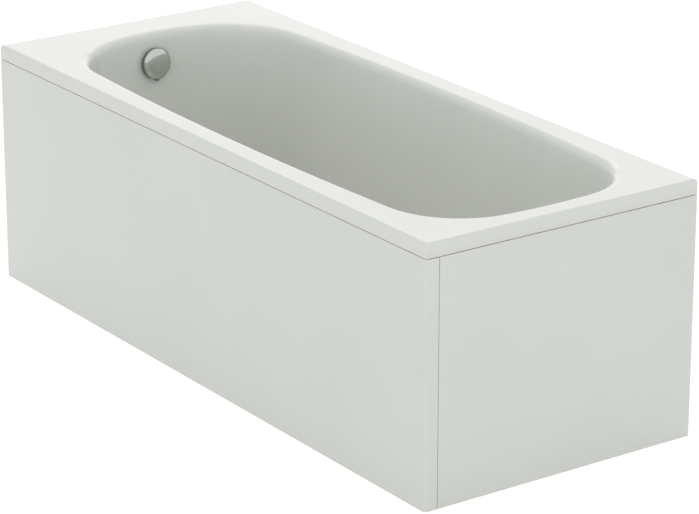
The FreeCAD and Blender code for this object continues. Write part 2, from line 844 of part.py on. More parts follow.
def ribs(reach, thickness, height, low, count=3):
    """Flat ribs from a hub out to a neck, evenly round the axis."""
    spokes = []
    for index in range(count):
        spoke = block(reach, thickness, height)
        spoke.Placement = Placement(Vector(), Rotation(Vector(0, 0, 1), 360 / count * index))
        turn = f"{360 // count * index}"
        bind(spoke, **{"Placement.Base.x": f"sin({turn}) * {thickness} / 2",
                       "Placement.Base.y": f"0 - cos({turn}) * {thickness} / 2",
                       "Placement.Base.z": low})
        spokes.append(spoke)
    return spokes


def waste_flange():
    """Metal flange in the floor, with a guide for the plug's stem held by three ribs."""
    neck = turned("flange", [
        ("waste_bore_radius", "0 - waste_neck_depth"),
        ("waste_neck_radius", "0 - waste_neck_depth"), ("waste_neck_radius", "0"),
        ("waste_flange_radius", "0"),
        ("waste_flange_radius", "waste_flange_thickness"),
        ("waste_bore_radius", "waste_flange_thickness")])
    guide = fused(ribs("waste_bore_radius + overrun / 2", "guide_rib", "guide_height",
                       "0 - waste_neck_depth")
                  + [cylinder("guide_hub_radius", "guide_height", z="0 - waste_neck_depth")])
    stem = cylinder("stem_radius + stem_slack", "guide_height + overrun * 2",
                    z="0 - waste_neck_depth - overrun")
    finish(at_drain(cut(fused([neck, guide]), stem)), "waste_flange")


def body_seals():
    """Two equal rubber rings: one under the floor, one behind the end wall."""
    corners = ring("overflow_hole_radius + seal_inset", "gasket_radius", "0",
                   "seal_thickness")
    under = put(turned("seal", corners), "drain_place", "0", "seat_height + cup_top")
    behind = at_overflow(turned("seal", corners), "housing_front")
    finish(group([under, behind]), "body_seals")


def waste_body():
    """Moulded cup under the floor: outlet below, overflow port, boss of the rocker shaft."""
    cup = turned("cup", [
        ("0", "0 - cup_depth"), ("cup_radius", "0 - cup_depth"),
        ("cup_radius", "cup_top - cup_collar_height"),
        ("cup_collar_radius", "cup_top - cup_collar_height"),
        ("cup_collar_radius", "cup_top"), ("0", "cup_top")])
    outlet = cylinder("outlet_radius", "outlet_length + overrun",
                      z="0 - cup_depth - outlet_length")
    port = cylinder("port_radius", "port_length", z="0 - port_depth", turn=AGAINST_X)
    boss = cylinder("rocker_boss_radius", "rocker_boss_reach", "finger_reach", "0",
                    "pivot_height", AGAINST_Y)
    lug = block("lug_length", "lug_width", "lug_height",
                "finger_reach - ferrule_stand_off - overrun - lug_length",
                "core_side - ferrule_radius - cable_gap * 2",
                "nipple_height - ferrule_radius - overrun")
    inside = cylinder("cup_radius - cup_wall", "cup_depth - cup_wall + cup_top + overrun",
                      z="cup_wall - cup_depth")
    bore = cylinder("outlet_bore_radius", "cup_wall + outlet_length + overrun * 2",
                    z="0 - cup_depth - outlet_length - overrun")
    port_bore = cylinder("port_bore_radius", "port_length + overrun", z="0 - port_depth",
                         turn=AGAINST_X)
    shaft = cylinder("rocker_shaft_radius + rocker_slack", "rocker_boss_reach + overrun",
                     "finger_reach", "0", "pivot_height", AGAINST_Y)
    ferrule = cylinder("ferrule_radius + ferrule_slack", "ferrule_length + overrun * 2",
                       "finger_reach - ferrule_stand_off + overrun", "core_side",
                       "nipple_height", AGAINST_X)
    body = cut(fused([cup, outlet, port, boss, lug]), inside, bore, port_bore, shaft,
               ferrule)
    finish(at_drain(body), "waste_body")


def plug():
    """Domed metal plug on a stem, with a rubber seal under its rim."""
    cap = turned("plug", [
        ("0", "stem_end"), ("stem_tip", "stem_end"), ("stem_radius", "stem_end + overrun"),
        ("stem_radius", "plug_under"), ("plug_radius", "plug_under"),
        ("plug_radius", "plug_under + plug_edge"),
        ("0", "plug_under + plug_crown")])
    finish(at_drain(cap), "pop_up_plug")
    seal = turned("seal", ring("seal_inner_radius", "waste_bore_radius - plug_gap",
                               "plug_under - seal_height", "plug_under"))
    finish(at_drain(seal), "plug_seal")


def rocker():
    """Shaft through the cup's wall, with a lifting finger inside and a forked lever outside."""
    shaft = cylinder("rocker_shaft_radius", "finger_width / 2 - lever_side + lever_thickness",
                     "finger_reach", "finger_width / 2", "pivot_height", AGAINST_Y)
    finish(at_drain(group([shaft])), "rocker_shaft")
    arm = block("finger_reach + finger_tip", "finger_width", "finger_thickness",
                "0 - finger_tip", "0 - finger_width / 2",
                "pivot_height - finger_thickness / 2")
    finish(at_drain(on_shaft(arm, "finger_width", "finger_width / 2")), "rocker_finger")
    blade = block("lever_width", "lever_thickness", "lever_reach + lever_tip",
                  "finger_reach - lever_width / 2", "lever_side - lever_thickness",
                  "nipple_height - lever_tip")
    slot = "(nipple_radius + nipple_slack)"
    fork = block(f"{slot} * 2", "lever_thickness + overrun * 2", f"lever_tip + {slot}",
                 f"finger_reach - {slot}", "lever_side - lever_thickness - overrun",
                 "nipple_height - lever_tip")
    lever = on_shaft(blade, "lever_thickness", "lever_side")
    finish(at_drain(cut(lever, fork)), "rocker_lever")


def on_shaft(arm, width, side):
    """An arm with a round hub bored for the rocker's shaft."""
    hub = cylinder("lever_hub_radius", width, "finger_reach", side, "pivot_height",
                   AGAINST_Y)
    bore = cylinder("rocker_shaft_radius + rocker_slack", f"{width} + overrun * 2",
                    "finger_reach", f"{side} + overrun", "pivot_height", AGAINST_Y)
    return cut(fused([arm, hub]), bore)


def cable_end():
    """Ferrule held by the cup, and the core that slides in it with a nipple in the fork."""
    start = "finger_reach - ferrule_stand_off"
    ferrule = cut(cylinder("ferrule_radius", "ferrule_length", start, "core_side",
                           "nipple_height", AGAINST_X),
                  cylinder("core_radius + core_slack", "ferrule_length + overrun * 2",
                           f"{start} + overrun", "core_side", "nipple_height", AGAINST_X))
    finish(at_drain(ferrule), "cable_ferrule")
    rod = cylinder("core_radius", "ferrule_stand_off + core_tail", "finger_reach",
                   "core_side", "nipple_height", AGAINST_X)
    nipple = cylinder("nipple_radius",
                      "core_side + nipple_radius - lever_side + lever_thickness",
                      "finger_reach", "core_side + nipple_radius", "nipple_height",
                      AGAINST_Y)
    finish(at_drain(fused([rod, nipple])), "cable_core")


def overflow_fitting():
    """Faceplate screwed through the end wall into the housing behind it."""
    face = turned("face", [
        ("face_bore_radius", "0 - face_neck_length"),
        ("face_neck_radius", "0 - face_neck_length"), ("face_neck_radius", "0"),
        ("face_radius", "0"), ("face_radius", "face_thickness"),
        ("face_bore_radius", "face_thickness")])
    spokes = ribs("face_bore_radius + overrun / 2", "guide_rib", "guide_height",
                  "0 - guide_height")
    hub = cylinder("face_hub_radius", "guide_height", z="0 - guide_height")
    hole = cylinder("spindle_radius + stem_slack", "guide_height + overrun * 2",
                    z="0 - guide_height - overrun")
    finish(at_overflow(cut(fused([face, hub] + spokes), hole)), "overflow_faceplate")
    chamber = turned("chamber", [
        ("spindle_radius + stem_slack", "housing_end"), ("housing_radius", "housing_end"),
        ("housing_radius", "housing_front - housing_flange"),
        ("housing_flange_radius", "housing_front - housing_flange"),
        ("housing_flange_radius", "housing_front"),
        ("face_neck_radius + socket_slack", "housing_front"),
        ("face_neck_radius + socket_slack", "0 - housing_back"),
        ("spindle_radius + stem_slack", "0 - housing_back")])
    start = "housing_radius - housing_wall / 2"
    spout = cylinder("port_radius", f"spout_reach - ({start})", start, "0",
                     "0 - spout_stand_off", ALONG_X)
    gland_start = "(drum_flange_radius + drum_gap)"
    gland = block(f"gland_reach - {gland_start}", "gland_width",
                  "housing_end + overrun - drum_back", gland_start,
                  "0 - drum_radius - gland_width / 2", "drum_back")
    gland_bore = cylinder("core_radius + core_slack", "gland_reach + overrun", "0",
                          "0 - drum_radius", "drum_middle", ALONG_X)
    inner = "housing_radius / 2"
    bore = cylinder("port_bore_radius", f"spout_reach - ({inner}) + overrun", inner, "0",
                    "0 - spout_stand_off", ALONG_X)
    housing = cut(fused([chamber, spout, gland]), bore, gland_bore)
    finish(at_overflow(housing), "overflow_housing")


def overflow_knob():
    """Hollow domed knob with a finger lug, which turns the spindle."""
    cap = turned("cap", [
        ("spindle_radius + stem_slack", "knob_back"), ("knob_hub_radius", "knob_back"),
        ("knob_hub_radius", "knob_front - knob_crown - knob_wall"),
        ("knob_radius - knob_edge", "knob_front - knob_crown - knob_wall"),
        ("knob_radius - knob_edge", "knob_back"), ("knob_radius", "knob_back"),
        ("knob_radius", "knob_front - knob_crown - knob_edge"),
        ("knob_radius - knob_edge", "knob_front - knob_crown"),
        ("knob_radius / 2", "knob_front - knob_crown / 4"), ("0", "knob_front"),
        ("0", "knob_front - knob_crown - knob_wall"),
        ("spindle_radius + stem_slack", "knob_front - knob_crown - knob_wall")])
    lug = block("knob_wall + knob_lug_reach", "knob_lug_width", "knob_lug_height",
                "knob_radius - knob_wall", "0 - knob_lug_width / 2", "knob_back")
    finish(at_overflow(fused([cap, lug])), "overflow_knob")
    finish(at_overflow(cylinder("spindle_radius", "knob_front - knob_crown - knob_wall"
                                " - drum_back"), "drum_back"), "knob_spindle")


def cable_drum():
    """Grooved drum behind the housing, which the spindle turns to wind the cable in."""
    groove = "drum_radius - core_radius"
    cheek = "drum_thickness / 4"
    drum = turned("drum", [
        ("spindle_radius + stem_slack", "drum_back"), ("drum_flange_radius", "drum_back"),
        ("drum_flange_radius", f"drum_back + {cheek}"), (groove, f"drum_back + {cheek}"),
        (groove, f"drum_front - {cheek}"), ("drum_flange_radius", f"drum_front - {cheek}"),
        ("drum_flange_radius", "drum_front"), ("spindle_radius + stem_slack", "drum_front")])
    finish(at_overflow(drum), "cable_drum")


def spout_end():
    """World place of the end of the overflow spout, and the way that it points."""
    turn = overflow_turn()
    way = turn.multVec(Vector(1, 0, 0))
    start = Vector(size("overflow_wall"), 0, size("overflow_height"))
    return start + turn.multVec(Vector(size("spout_reach"), 0, -size("spout_stand_off"))), way


def rounded_route(corners, radii):
    """A wire of straight runs joined by arcs that touch them."""
    edges = []
    start = corners[0]
    for before, corner, after, radius in zip(corners, corners[1:], corners[2:], radii):
        way_in = (corner - before).normalize()
        way_out = (after - corner).normalize()
        turn = way_in.getAngle(way_out)
        reach = radius * math.tan(turn / 2)
        arc_start, arc_end = corner - way_in * reach, corner + way_out * reach
        inward = (way_out - way_in).normalize()
        middle = corner + inward * (radius / math.cos(turn / 2) - radius)
        edges.append(Part.LineSegment(start, arc_start).toShape())
        edges.append(Part.Arc(arc_start, middle, arc_end).toShape())
        start = arc_end
    edges.append(Part.LineSegment(start, corners[-1]).toShape())
    return Part.Wire(edges)


def tube(route, radius):
    """A round solid along a wire."""
    start = route.Edges[0].firstVertex().Point
    way = route.Edges[0].tangentAt(route.Edges[0].FirstParameter)
    circle = Part.Wire(Part.makeCircle(radius, start, way))
    return route.makePipeShell([circle], True, False)


def ringed_tube(route, radius):
    """A round solid along a wire, laid from ring to ring like the hose's wound wall."""
    rings = []
    for edge in route.Edges:
        steps = 1 if edge.Curve.TypeId == "Part::GeomLine" else int(size("hose_bend_rings"))
        first, last = edge.ParameterRange
        for step in range(1 if rings else 0, steps + 1):
            at = first + (last - first) * step / steps
            # The rings keep one steady axis across, so that the wall doesn't twist
            way = edge.tangentAt(at)
            circle = Part.Circle(edge.valueAt(at), way, radius)
            circle.XAxis = Vector(0, 1, 0)
            rings.append(Part.Wire(circle.toShape()))
    return Part.makeLoft(rings, True, True)


def overflow_hose():
    """Flexible hose from the spout down and round to the port of the waste."""
    start, way = spout_end()
    port = Vector(size("drain_place") - size("port_length"), 0,
                  size("seat_height") - size("port_depth"))
    gap = size("socket_slack")
    corner = start + way * ((port.z - start.z) / way.z)
    route = rounded_route([start + way * gap, corner, port - Vector(gap, 0, 0)],
                          [size("hose_bend_radius")])
    hose = doc.addObject("Part::Feature", "overflow_hose")
    hose.Shape = ringed_tube(route, size("port_radius")).cut(
        ringed_tube(route, size("port_bore_radius")))
    finish(hose, "overflow_hose")
    print("hose", round(route.Length), "mm")


def hose_nuts():
    """A nut over each end of the hose."""
    cover = "union_nut_length - union_nut_cover"
    for name, at, spot, turn in (
            ("hose_nut_top", at_overflow,
             ("spout_reach - union_nut_cover", "0", "0 - spout_stand_off"), ALONG_X),
            ("hose_nut_bottom", at_drain,
             ("union_nut_cover - port_length", "0", "0 - port_depth"), AGAINST_X)):
        body = cut(hexagon("union_nut_radius", "union_nut_length", *spot, sides=12,
                           turn=turn),
                   cylinder("port_radius + socket_slack", "union_nut_length", *spot,
                            turn=turn))
        finish(at(body), name)


def control_cable():
    """Sheath of the cable, held at the cover's gland and at the ferrule."""
    turn = overflow_turn()
    down = turn.multVec(Vector(1, 0, 0))
    gland = Vector(size("overflow_wall"), 0, size("overflow_height")) + turn.multVec(
        Vector(size("gland_reach"), -size("drum_radius"), size("drum_middle")))
    low = Vector(size("drain_place") + size("finger_reach") - size("ferrule_stand_off")
                 - size("ferrule_length") - size("socket_slack"), size("core_side"),
                 size("seat_height") + size("nipple_height"))
    turn_off = gland + down * size("cable_straight_run")
    corner = Vector(gland.x + size("cable_lean"), low.y, low.z)
    radius = size("cable_bend_radius")
    route = rounded_route([gland + down * size("socket_slack"), turn_off, corner, low],
                          [radius, radius])
    cable = doc.addObject("Part::Feature", "control_cable")
    cable.Shape = tube(route, size("cable_radius"))
    section = math.pi * size("cable_radius") ** 2
    print("cable", round(route.Length), "mm, radius", radius, "volume ratio",
          round(cable.Shape.Volume / (section * route.Length), 4))
    finish(cable, "control_cable")


def write_parts():
    """Check every object and every finished piece, then write one file for each piece."""
    doc.recompute()
    for thing in doc.Objects:
        if {"Invalid", "Error"} & set(thing.State):
            raise RuntimeError(f"{thing.Label} failed to build")
    os.makedirs("parts", exist_ok=True)
    for piece in finished:
        shape = piece.Shape
        if shape.isNull() or not shape.isValid() or not shape.Solids:
            raise RuntimeError(f"{piece.Label} has no sound solid")
        shape.exportStep(f"parts/{piece.Label}.step")
        print(piece.Label, len(shape.Solids), round(shape.Volume / 1000, 1), "cm3")


fill_tables()
tub_shell()
base_board()
rim_battens()
leg_channels()
feet()
leg_nuts()
front_panel()
end_panel()
rim_clips()
floor_clips()
corner_clips()
wall_brackets()
screws()
waste_flange()
body_seals()
waste_body()
plug()
rocker()
cable_end()
overflow_fitting()
overflow_knob()
cable_drum()
overflow_hose()
hose_nuts()
control_cable()
write_parts()
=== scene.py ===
"""The finished look of a panelled bathtub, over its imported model, as a Blender add-on.

Metres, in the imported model's own frame: the origin is on the floor under the centre of
the rim, +X runs from the waste to the backrest, +Y to the wall and +Z up.
"""
import json
import math

import bmesh
import bpy
from bpy.props import FloatProperty, FloatVectorProperty, IntProperty, PointerProperty
from bpy.props import StringProperty
from bpy.types import Operator, Panel, PropertyGroup
from mathutils import Matrix, Vector


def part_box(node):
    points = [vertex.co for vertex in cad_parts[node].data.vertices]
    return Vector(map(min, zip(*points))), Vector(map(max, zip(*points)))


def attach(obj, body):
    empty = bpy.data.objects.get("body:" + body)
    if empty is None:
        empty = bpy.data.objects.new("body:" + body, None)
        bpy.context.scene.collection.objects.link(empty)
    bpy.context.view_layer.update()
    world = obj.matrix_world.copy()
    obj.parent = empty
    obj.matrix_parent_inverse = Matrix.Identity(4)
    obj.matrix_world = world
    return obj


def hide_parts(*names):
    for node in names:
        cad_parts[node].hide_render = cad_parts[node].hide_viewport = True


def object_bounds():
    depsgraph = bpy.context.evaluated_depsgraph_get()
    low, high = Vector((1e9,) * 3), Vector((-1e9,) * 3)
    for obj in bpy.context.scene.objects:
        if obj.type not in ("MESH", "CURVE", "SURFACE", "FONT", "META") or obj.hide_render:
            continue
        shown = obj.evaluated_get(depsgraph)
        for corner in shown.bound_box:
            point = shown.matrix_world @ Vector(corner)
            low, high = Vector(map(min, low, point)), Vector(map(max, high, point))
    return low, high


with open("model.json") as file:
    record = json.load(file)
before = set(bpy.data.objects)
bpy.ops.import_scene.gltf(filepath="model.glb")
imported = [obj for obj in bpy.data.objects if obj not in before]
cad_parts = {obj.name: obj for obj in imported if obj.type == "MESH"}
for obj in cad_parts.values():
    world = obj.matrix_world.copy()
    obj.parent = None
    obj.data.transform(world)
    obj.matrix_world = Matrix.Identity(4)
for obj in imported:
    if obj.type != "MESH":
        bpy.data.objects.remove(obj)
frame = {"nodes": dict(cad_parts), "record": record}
CAD_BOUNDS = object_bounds()

bl_info = {
    "name": "Panelled bathtub",
    "version": (1, 0, 0),
    "blender": (4, 5, 0),
    "location": "View3D > Sidebar > Bathtub",
    "description": "Builds the finished pieces, surfaces and studio of a bathtub",
    "category": "Object",
}

MM = 0.001
# Steps round a quarter bend, along each stretch of the basin's outline, and round a
# turned piece
BEND_STEPS, OUTLINE_STEPS, TURN_STEPS = 8, 16, 96
# Sides of the hose's round section, and rings along each of its ribs
HOSE_SIDES, RIB_STEPS = 28, 4
# Sides and depth of the cylinder that cuts the overflow's hole
DRILL_SIDES, DRILL_DEPTH = 64, 40 * MM
# Steps of the softened edges of the panels, and of the knob's lug
EASE_STEPS, LUG_STEPS = 3, 4
# An outline whose sides bulge by so little is straight
STRAIGHT = 1e-5
# Points nearer than this are one: in a loft, and in a turned or copied mesh
LOFT_JOIN, MESH_JOIN = 1e-7, 1e-6
# Faces that meet at less are one flat face, and edges that turn by more get softened
FLAT_TURN, SHARP_TURN = math.radians(1), math.radians(40)
# Rounding of edges that look sharp, the finer one at the knob's back, and the least one
SOFT, FINE, LEAST = 0.6 * MM, 0.4 * MM, 0.2 * MM
# The roll's own rings end at 90 degrees over this, where the walls' rings take over
ROLL_CUT = 1.4
# Places of rings that keep a flat face flat beside a bend, as shares of its width, and
# the circle round the waste that the underside's flat face runs to
BESIDE_RECESS, BESIDE_ROLL = (0.04, 0.985), 0.02
UNDERSIDE_RING = 60 * MM
# Angles of the rings up the domes of the knob and the plug, in degrees
KNOB_DOME, PLUG_DOME = range(10, 90, 10), range(12, 90, 13)
# Share of the knob's rounded edge that belongs to its flank, whose chrome is painted
# darker as a painted dark reflection
FLANK_SHARE = 0.55
# Stretch of values that noise mostly keeps to, and the whole stretch that cells take up
NOISE_SPAN, CELL_SPAN = (0.3, 0.7), (0, 1)
# The wave texture turns by so many radians in one unit of its scale
WAVE_RADIANS = 20
# Pitch of the foot studs' thread, in millimetres
STUD_PITCH = 1.75
# The camera sees the floor as a mix of this share of glow with its lit surface, and the
# glow's strength makes the mix white
FLOOR_GLOW_SHARE, FLOOR_GLOW = 0.85, 1.12
# Reach of the floor from its middle, in metres, and the sensor's width in millimetres
FLOOR_REACH, SENSOR_WIDTH = 30, 36
WHITE = (1, 1, 1, 1)
# Each lamp: name, property with its power, width, height, place, and where it points
LAMPS = (
    ("back_lamp", "back_strength", 4.0, 4.0, (-6.4, 4.6, 3.2), (0, 0, 0.55)),
    ("high_lamp", "high_strength", 5.0, 5.0, (-4.4, 3.2, 5.5), (0, 0, 0.55)),
    ("front_lamp", "front_strength", 8.0, 1.8, (8.2, -6.5, 1.2), (0, 0, 0.28)),
)
# This lamp only fills, so the chrome doesn't mirror it as a hard spot
UNMIRRORED_LAMP = "front_lamp"


# Sizes and colours that a user would change -------------------------------------------


class ShellSizes(PropertyGroup):
    """Sizes of the acrylic shell and the panels"""
    rim_width_drain: FloatProperty(
        name="Rim at the waste end", default=97 * MM, unit="LENGTH",
        description="Flat rim from the outer edge to the start of the roll")
    rim_width_head: FloatProperty(
        name="Rim at the backrest end", default=44 * MM, unit="LENGTH",
        description="Flat rim from the outer edge to the start of the roll")
    rim_width_side: FloatProperty(
        name="Rim at the sides", default=46 * MM, unit="LENGTH",
        description="Flat rim from the outer edge to the start of the roll")
    rim_depth: FloatProperty(
        name="Rim depth", default=32.5 * MM, unit="LENGTH",
        description="Height of the rim's turned-down edge")
    rim_edge: FloatProperty(
        name="Rim edge radius", default=9 * MM, unit="LENGTH",
        description="Rounding from the flat rim into its turned-down edge")
    rim_corner: FloatProperty(
        name="Rim corner radius", default=4.5 * MM, unit="LENGTH",
        description="Rounding of the rim's four corners, seen from above")
    wall: FloatProperty(
        name="Shell wall", default=5 * MM, unit="LENGTH",
        description="Thickness of the acrylic and its backing")
    roll: FloatProperty(
        name="Roll radius", default=20 * MM, unit="LENGTH",
        description="Rounding from the rim into the basin")
    floor_bend: FloatProperty(
        name="Floor bend", default=70 * MM, unit="LENGTH",
        description="Rounding from the walls into the floor")
    floor_height: FloatProperty(
        name="Floor height", default=168 * MM, unit="LENGTH",
        description="Height of the basin's floor over the room's floor")
    drain_draft: FloatProperty(
        name="Waste end draft", default=math.radians(5), subtype="ANGLE",
        description="Lean of the wall that holds the knob")
    side_draft: FloatProperty(
        name="Side draft", default=math.radians(7), subtype="ANGLE",
        description="Lean of the long walls")
    backrest_slope: FloatProperty(
        name="Backrest slope", default=math.radians(27), subtype="ANGLE",
        description="Lean of the backrest")
    side_arc: FloatProperty(
        name="Side bow", default=math.radians(3.5), subtype="ANGLE",
        description="Half of the turn of the long sides")
    drain_arc: FloatProperty(
        name="Waste end bow", default=math.radians(15), subtype="ANGLE",
        description="Half of the turn of the waste end")
    head_arc: FloatProperty(
        name="Backrest end bow", default=math.radians(5), subtype="ANGLE",
        description="Half of the turn of the backrest end")
    drain_corner: FloatProperty(
        name="Waste end corners", default=215 * MM, unit="LENGTH",
        description="Corner radius at the rim")
    head_corner: FloatProperty(
        name="Backrest end corners", default=184 * MM, unit="LENGTH",
        description="Corner radius at the rim")
    drain_corner_low: FloatProperty(
        name="Waste end corners at the floor", default=177.3 * MM, unit="LENGTH",
        description="Corner radius at the floor")
    head_corner_low: FloatProperty(
        name="Backrest end corners at the floor", default=145 * MM, unit="LENGTH",
        description="Corner radius at the floor")
    drain_place: FloatProperty(
        name="Waste place", default=-545 * MM, unit="LENGTH",
        description="Centre of the waste along the bath")
    recess_radius: FloatProperty(
        name="Waste recess", default=43 * MM, unit="LENGTH",
        description="Radius of the shallow recess round the waste")
    recess_depth: FloatProperty(
        name="Waste recess depth", default=2.5 * MM, unit="LENGTH",
        description="Depth of the recess round the waste")
    drain_hole: FloatProperty(
        name="Waste hole", default=26 * MM, unit="LENGTH",
        description="Radius of the hole for the waste")
    overflow_hole: FloatProperty(
        name="Overflow hole", default=26 * MM, unit="LENGTH",
        description="Radius of the hole for the overflow")
    panel_edge: FloatProperty(
        name="Panel edge", default=0.5 * MM, unit="LENGTH",
        description="Softening of the panels' edges")


class FittingSizes(PropertyGroup):
    """Sizes of the metal fittings and the hose"""
    knob_radius: FloatProperty(
        name="Knob radius", default=38 * MM, unit="LENGTH",
        description="Radius of the knob's rim")
    knob_depth: FloatProperty(
        name="Knob depth", default=15 * MM, unit="LENGTH",
        description="From the back of the knob to the middle of its face")
    knob_edge: FloatProperty(
        name="Knob edge", default=3 * MM, unit="LENGTH",
        description="Rounding of the knob's face")
    knob_crown: FloatProperty(
        name="Knob crown", default=6 * MM, unit="LENGTH",
        description="Rise of the knob's face to its middle")
    knob_wall: FloatProperty(
        name="Knob wall", default=2 * MM, unit="LENGTH",
        description="Thickness of the hollow knob's wall")
    knob_back: FloatProperty(
        name="Knob stand-off", default=6.5 * MM, unit="LENGTH",
        description="From the wall of the basin to the back of the knob")
    overflow_drop: FloatProperty(
        name="Overflow drop", default=74 * MM, unit="LENGTH",
        description="From the rim down to the knob's axis")
    overflow_wall: FloatProperty(
        name="Overflow wall", default=-728.499 * MM, unit="LENGTH",
        description="Place along the bath of the wall at the knob's axis")
    spout_reach: FloatProperty(
        name="Spout reach", default=74 * MM, unit="LENGTH",
        description="From the knob's axis to the end of the overflow spout")
    spout_stand_off: FloatProperty(
        name="Spout stand-off", default=30 * MM, unit="LENGTH",
        description="From the wall of the basin back to the spout's axis")
    port_length: FloatProperty(
        name="Waste port length", default=62 * MM, unit="LENGTH",
        description="From the waste's axis to the end of its hose port")
    port_depth: FloatProperty(
        name="Waste port depth", default=33 * MM, unit="LENGTH",
        description="From the waste's seat down to the axis of its hose port")
    hose_radius: FloatProperty(
        name="Hose radius", default=16 * MM, unit="LENGTH",
        description="To the crests of the hose's ribs")
    hose_bore: FloatProperty(
        name="Hose bore radius", default=13 * MM, unit="LENGTH",
        description="Radius of the hose's bore")
    hose_bend: FloatProperty(
        name="Hose bend radius", default=80 * MM, unit="LENGTH",
        description="Radius of the bend under the bath")
    hose_ribs: IntProperty(
        name="Hose ribs", default=76, min=12, max=200,
        description="Wound ribs along the overflow hose")
    hose_rib_height: FloatProperty(
        name="Hose rib height", default=1.6 * MM, unit="LENGTH",
        description="From the valleys of the hose to its crests")


class FinishColours(PropertyGroup):
    """Colours of the surfaces, as sRGB hex values"""
    acrylic: StringProperty(
        name="Acrylic", default="DADCD7", description="Glossy shell of the bath")
    panel: StringProperty(
        name="Panels", default="D8DBD5", description="Glossy sheet of the panels")
    chrome: StringProperty(
        name="Chrome", default="C6CAC5", description="Plating of the knob and waste")
    floor: StringProperty(
        name="Floor", default="F4F4F2", description="Plain floor of the studio")


class StudioSizes(PropertyGroup):
    """Camera and lamps of the studio"""
    camera_place: FloatVectorProperty(
        name="Camera place", default=(5.8288, -4.0231, 2.7932),
        subtype="TRANSLATION", description="Where the camera stands")
    camera_azimuth: FloatProperty(
        name="Camera azimuth", default=math.radians(54.985), subtype="ANGLE",
        description="Turn of the camera from the front of the bath")
    camera_elevation: FloatProperty(
        name="Camera elevation", default=math.radians(19.908), subtype="ANGLE",
        description="Angle from which the camera looks down")
    camera_roll: FloatProperty(
        name="Camera roll", default=math.radians(0.014), subtype="ANGLE",
        description="Roll of the camera about its own axis")
    lens: FloatProperty(
        name="Lens", default=172.28, unit="CAMERA",
        description="Focal length of the camera, in millimetres")
    world_strength: FloatProperty(
        name="Ambient light", default=0.88, min=0.0,
        description="Strength of the light from all round")
    back_strength: FloatProperty(
        name="Back light", default=25.0, min=0.0, unit="POWER",
        description="Power of the lamp that the flat rim mirrors")
    high_strength: FloatProperty(
        name="High light", default=60.0, min=0.0, unit="POWER",
        description="Power of the wide lamp above and behind")
    front_strength: FloatProperty(
        name="Front light", default=100.0, min=0.0, unit="POWER",
        description="Power of the wide lamp beside the camera")


# Mesh helpers -------------------------------------------------------------------------


def arc_radii(reach, half_width, side_angle, end_angle, corner):
    """Radii of the long side arc and the end arc that a corner arc joins smoothly."""
    across = reach - corner * (math.cos(end_angle) - math.sin(side_angle))
    up = half_width - corner * (math.cos(side_angle) - math.sin(end_angle))
    flat, steep = 1 - math.cos(side_angle), 1 - math.cos(end_angle)
    share = math.sin(side_angle) * math.sin(end_angle) - steep * flat
    return ((across * math.sin(end_angle) - steep * up) / share,
            (math.sin(side_angle) * up - flat * across) / share)


def outline(middle, half_width, side_angle, ends, height):
    """Points round a level outline of side arcs, corner arcs and end arcs.

    Each end is (reach, end_angle, corner radius); the first is towards +X."""
    quarters = []
    for reach, end_angle, corner in ends:
        side, end = arc_radii(reach, half_width, side_angle, end_angle, corner)
        last = math.pi / 2 - end_angle
        corner_centre = ((side - corner) * math.sin(side_angle),
                         half_width - side + (side - corner) * math.cos(side_angle))
        quarter = []
        for centre, radius, start, stop in (
                ((0, half_width - side), side, 0, side_angle),
                (corner_centre, corner, side_angle, last),
                ((reach - end, 0), end, last, math.pi / 2)):
            for step in range(OUTLINE_STEPS):
                angle = start + (stop - start) * step / OUTLINE_STEPS
                quarter.append((centre[0] + radius * math.sin(angle),
                                centre[1] + radius * math.cos(angle)))
        quarters.append(quarter + [(reach, 0)])
    near, far = quarters
    round_points = (near[:-1] + [(x, -y) for x, y in reversed(near[1:])]
                    + [(-x, -y) for x, y in far[:-1]]
                    + [(-x, y) for x, y in reversed(far[1:])])
    return [Vector((middle + x, y, height)) for x, y in round_points]


def lofted(name, rings, backs=()):
    """A mesh grown ring by ring: each ring is extruded and moved to the next places.

    The last ring is the first again, so the skin closes. Faces that lead to a ring in
    backs take the object's second material."""
    bm = bmesh.new()
    ring = bmesh.ops.create_circle(bm, segments=len(rings[0]), radius=1)["verts"]
    for vert, place in zip(ring, rings[0]):
        vert.co = place
    for number, places in enumerate(rings[1:], start=1):
        edges = [bm.edges.get((ring[i - 1], ring[i])) for i in range(len(ring))]
        grown = bmesh.ops.extrude_edge_only(bm, edges=edges)["geom"]
        for face in grown:
            if isinstance(face, bmesh.types.BMFace) and number in backs:
                face.material_index = 1
        fresh = {item for item in grown if isinstance(item, bmesh.types.BMVert)}
        ring = [next(edge.other_vert(vert) for edge in vert.link_edges
                     if edge.other_vert(vert) in fresh) for vert in ring]
        for vert, place in zip(ring, places):
            vert.co = place
    return finished(name, bm)


def finished(name, bm, join=LOFT_JOIN):
    """Turn a bmesh into a smooth object that stands at the origin."""
    bmesh.ops.remove_doubles(bm, verts=bm.verts, dist=join)
    bmesh.ops.recalc_face_normals(bm, faces=bm.faces)
    for face in bm.faces:
        face.smooth = True
    mesh = bpy.data.meshes.new(name)
    bm.to_mesh(mesh)
    bm.free()
    thing = bpy.data.objects.new(name, mesh)
    bpy.context.scene.collection.objects.link(thing)
    return thing


def turned(name, profile, place):
    """A solid of revolution from (radius, height) points, placed by a matrix."""
    bm = bmesh.new()
    verts = [bm.verts.new((radius, 0, height)) for radius, height in profile]
    edges = [bm.edges.new((verts[i], verts[i + 1])) for i in range(len(verts) - 1)]
    bmesh.ops.spin(bm, geom=verts + edges, cent=(0, 0, 0), axis=(0, 0, 1),
                   dvec=(0, 0, 0), angle=math.tau, steps=TURN_STEPS, use_merge=True)
    bmesh.ops.transform(bm, matrix=place, verts=bm.verts)
    return finished(name, bm, MESH_JOIN)


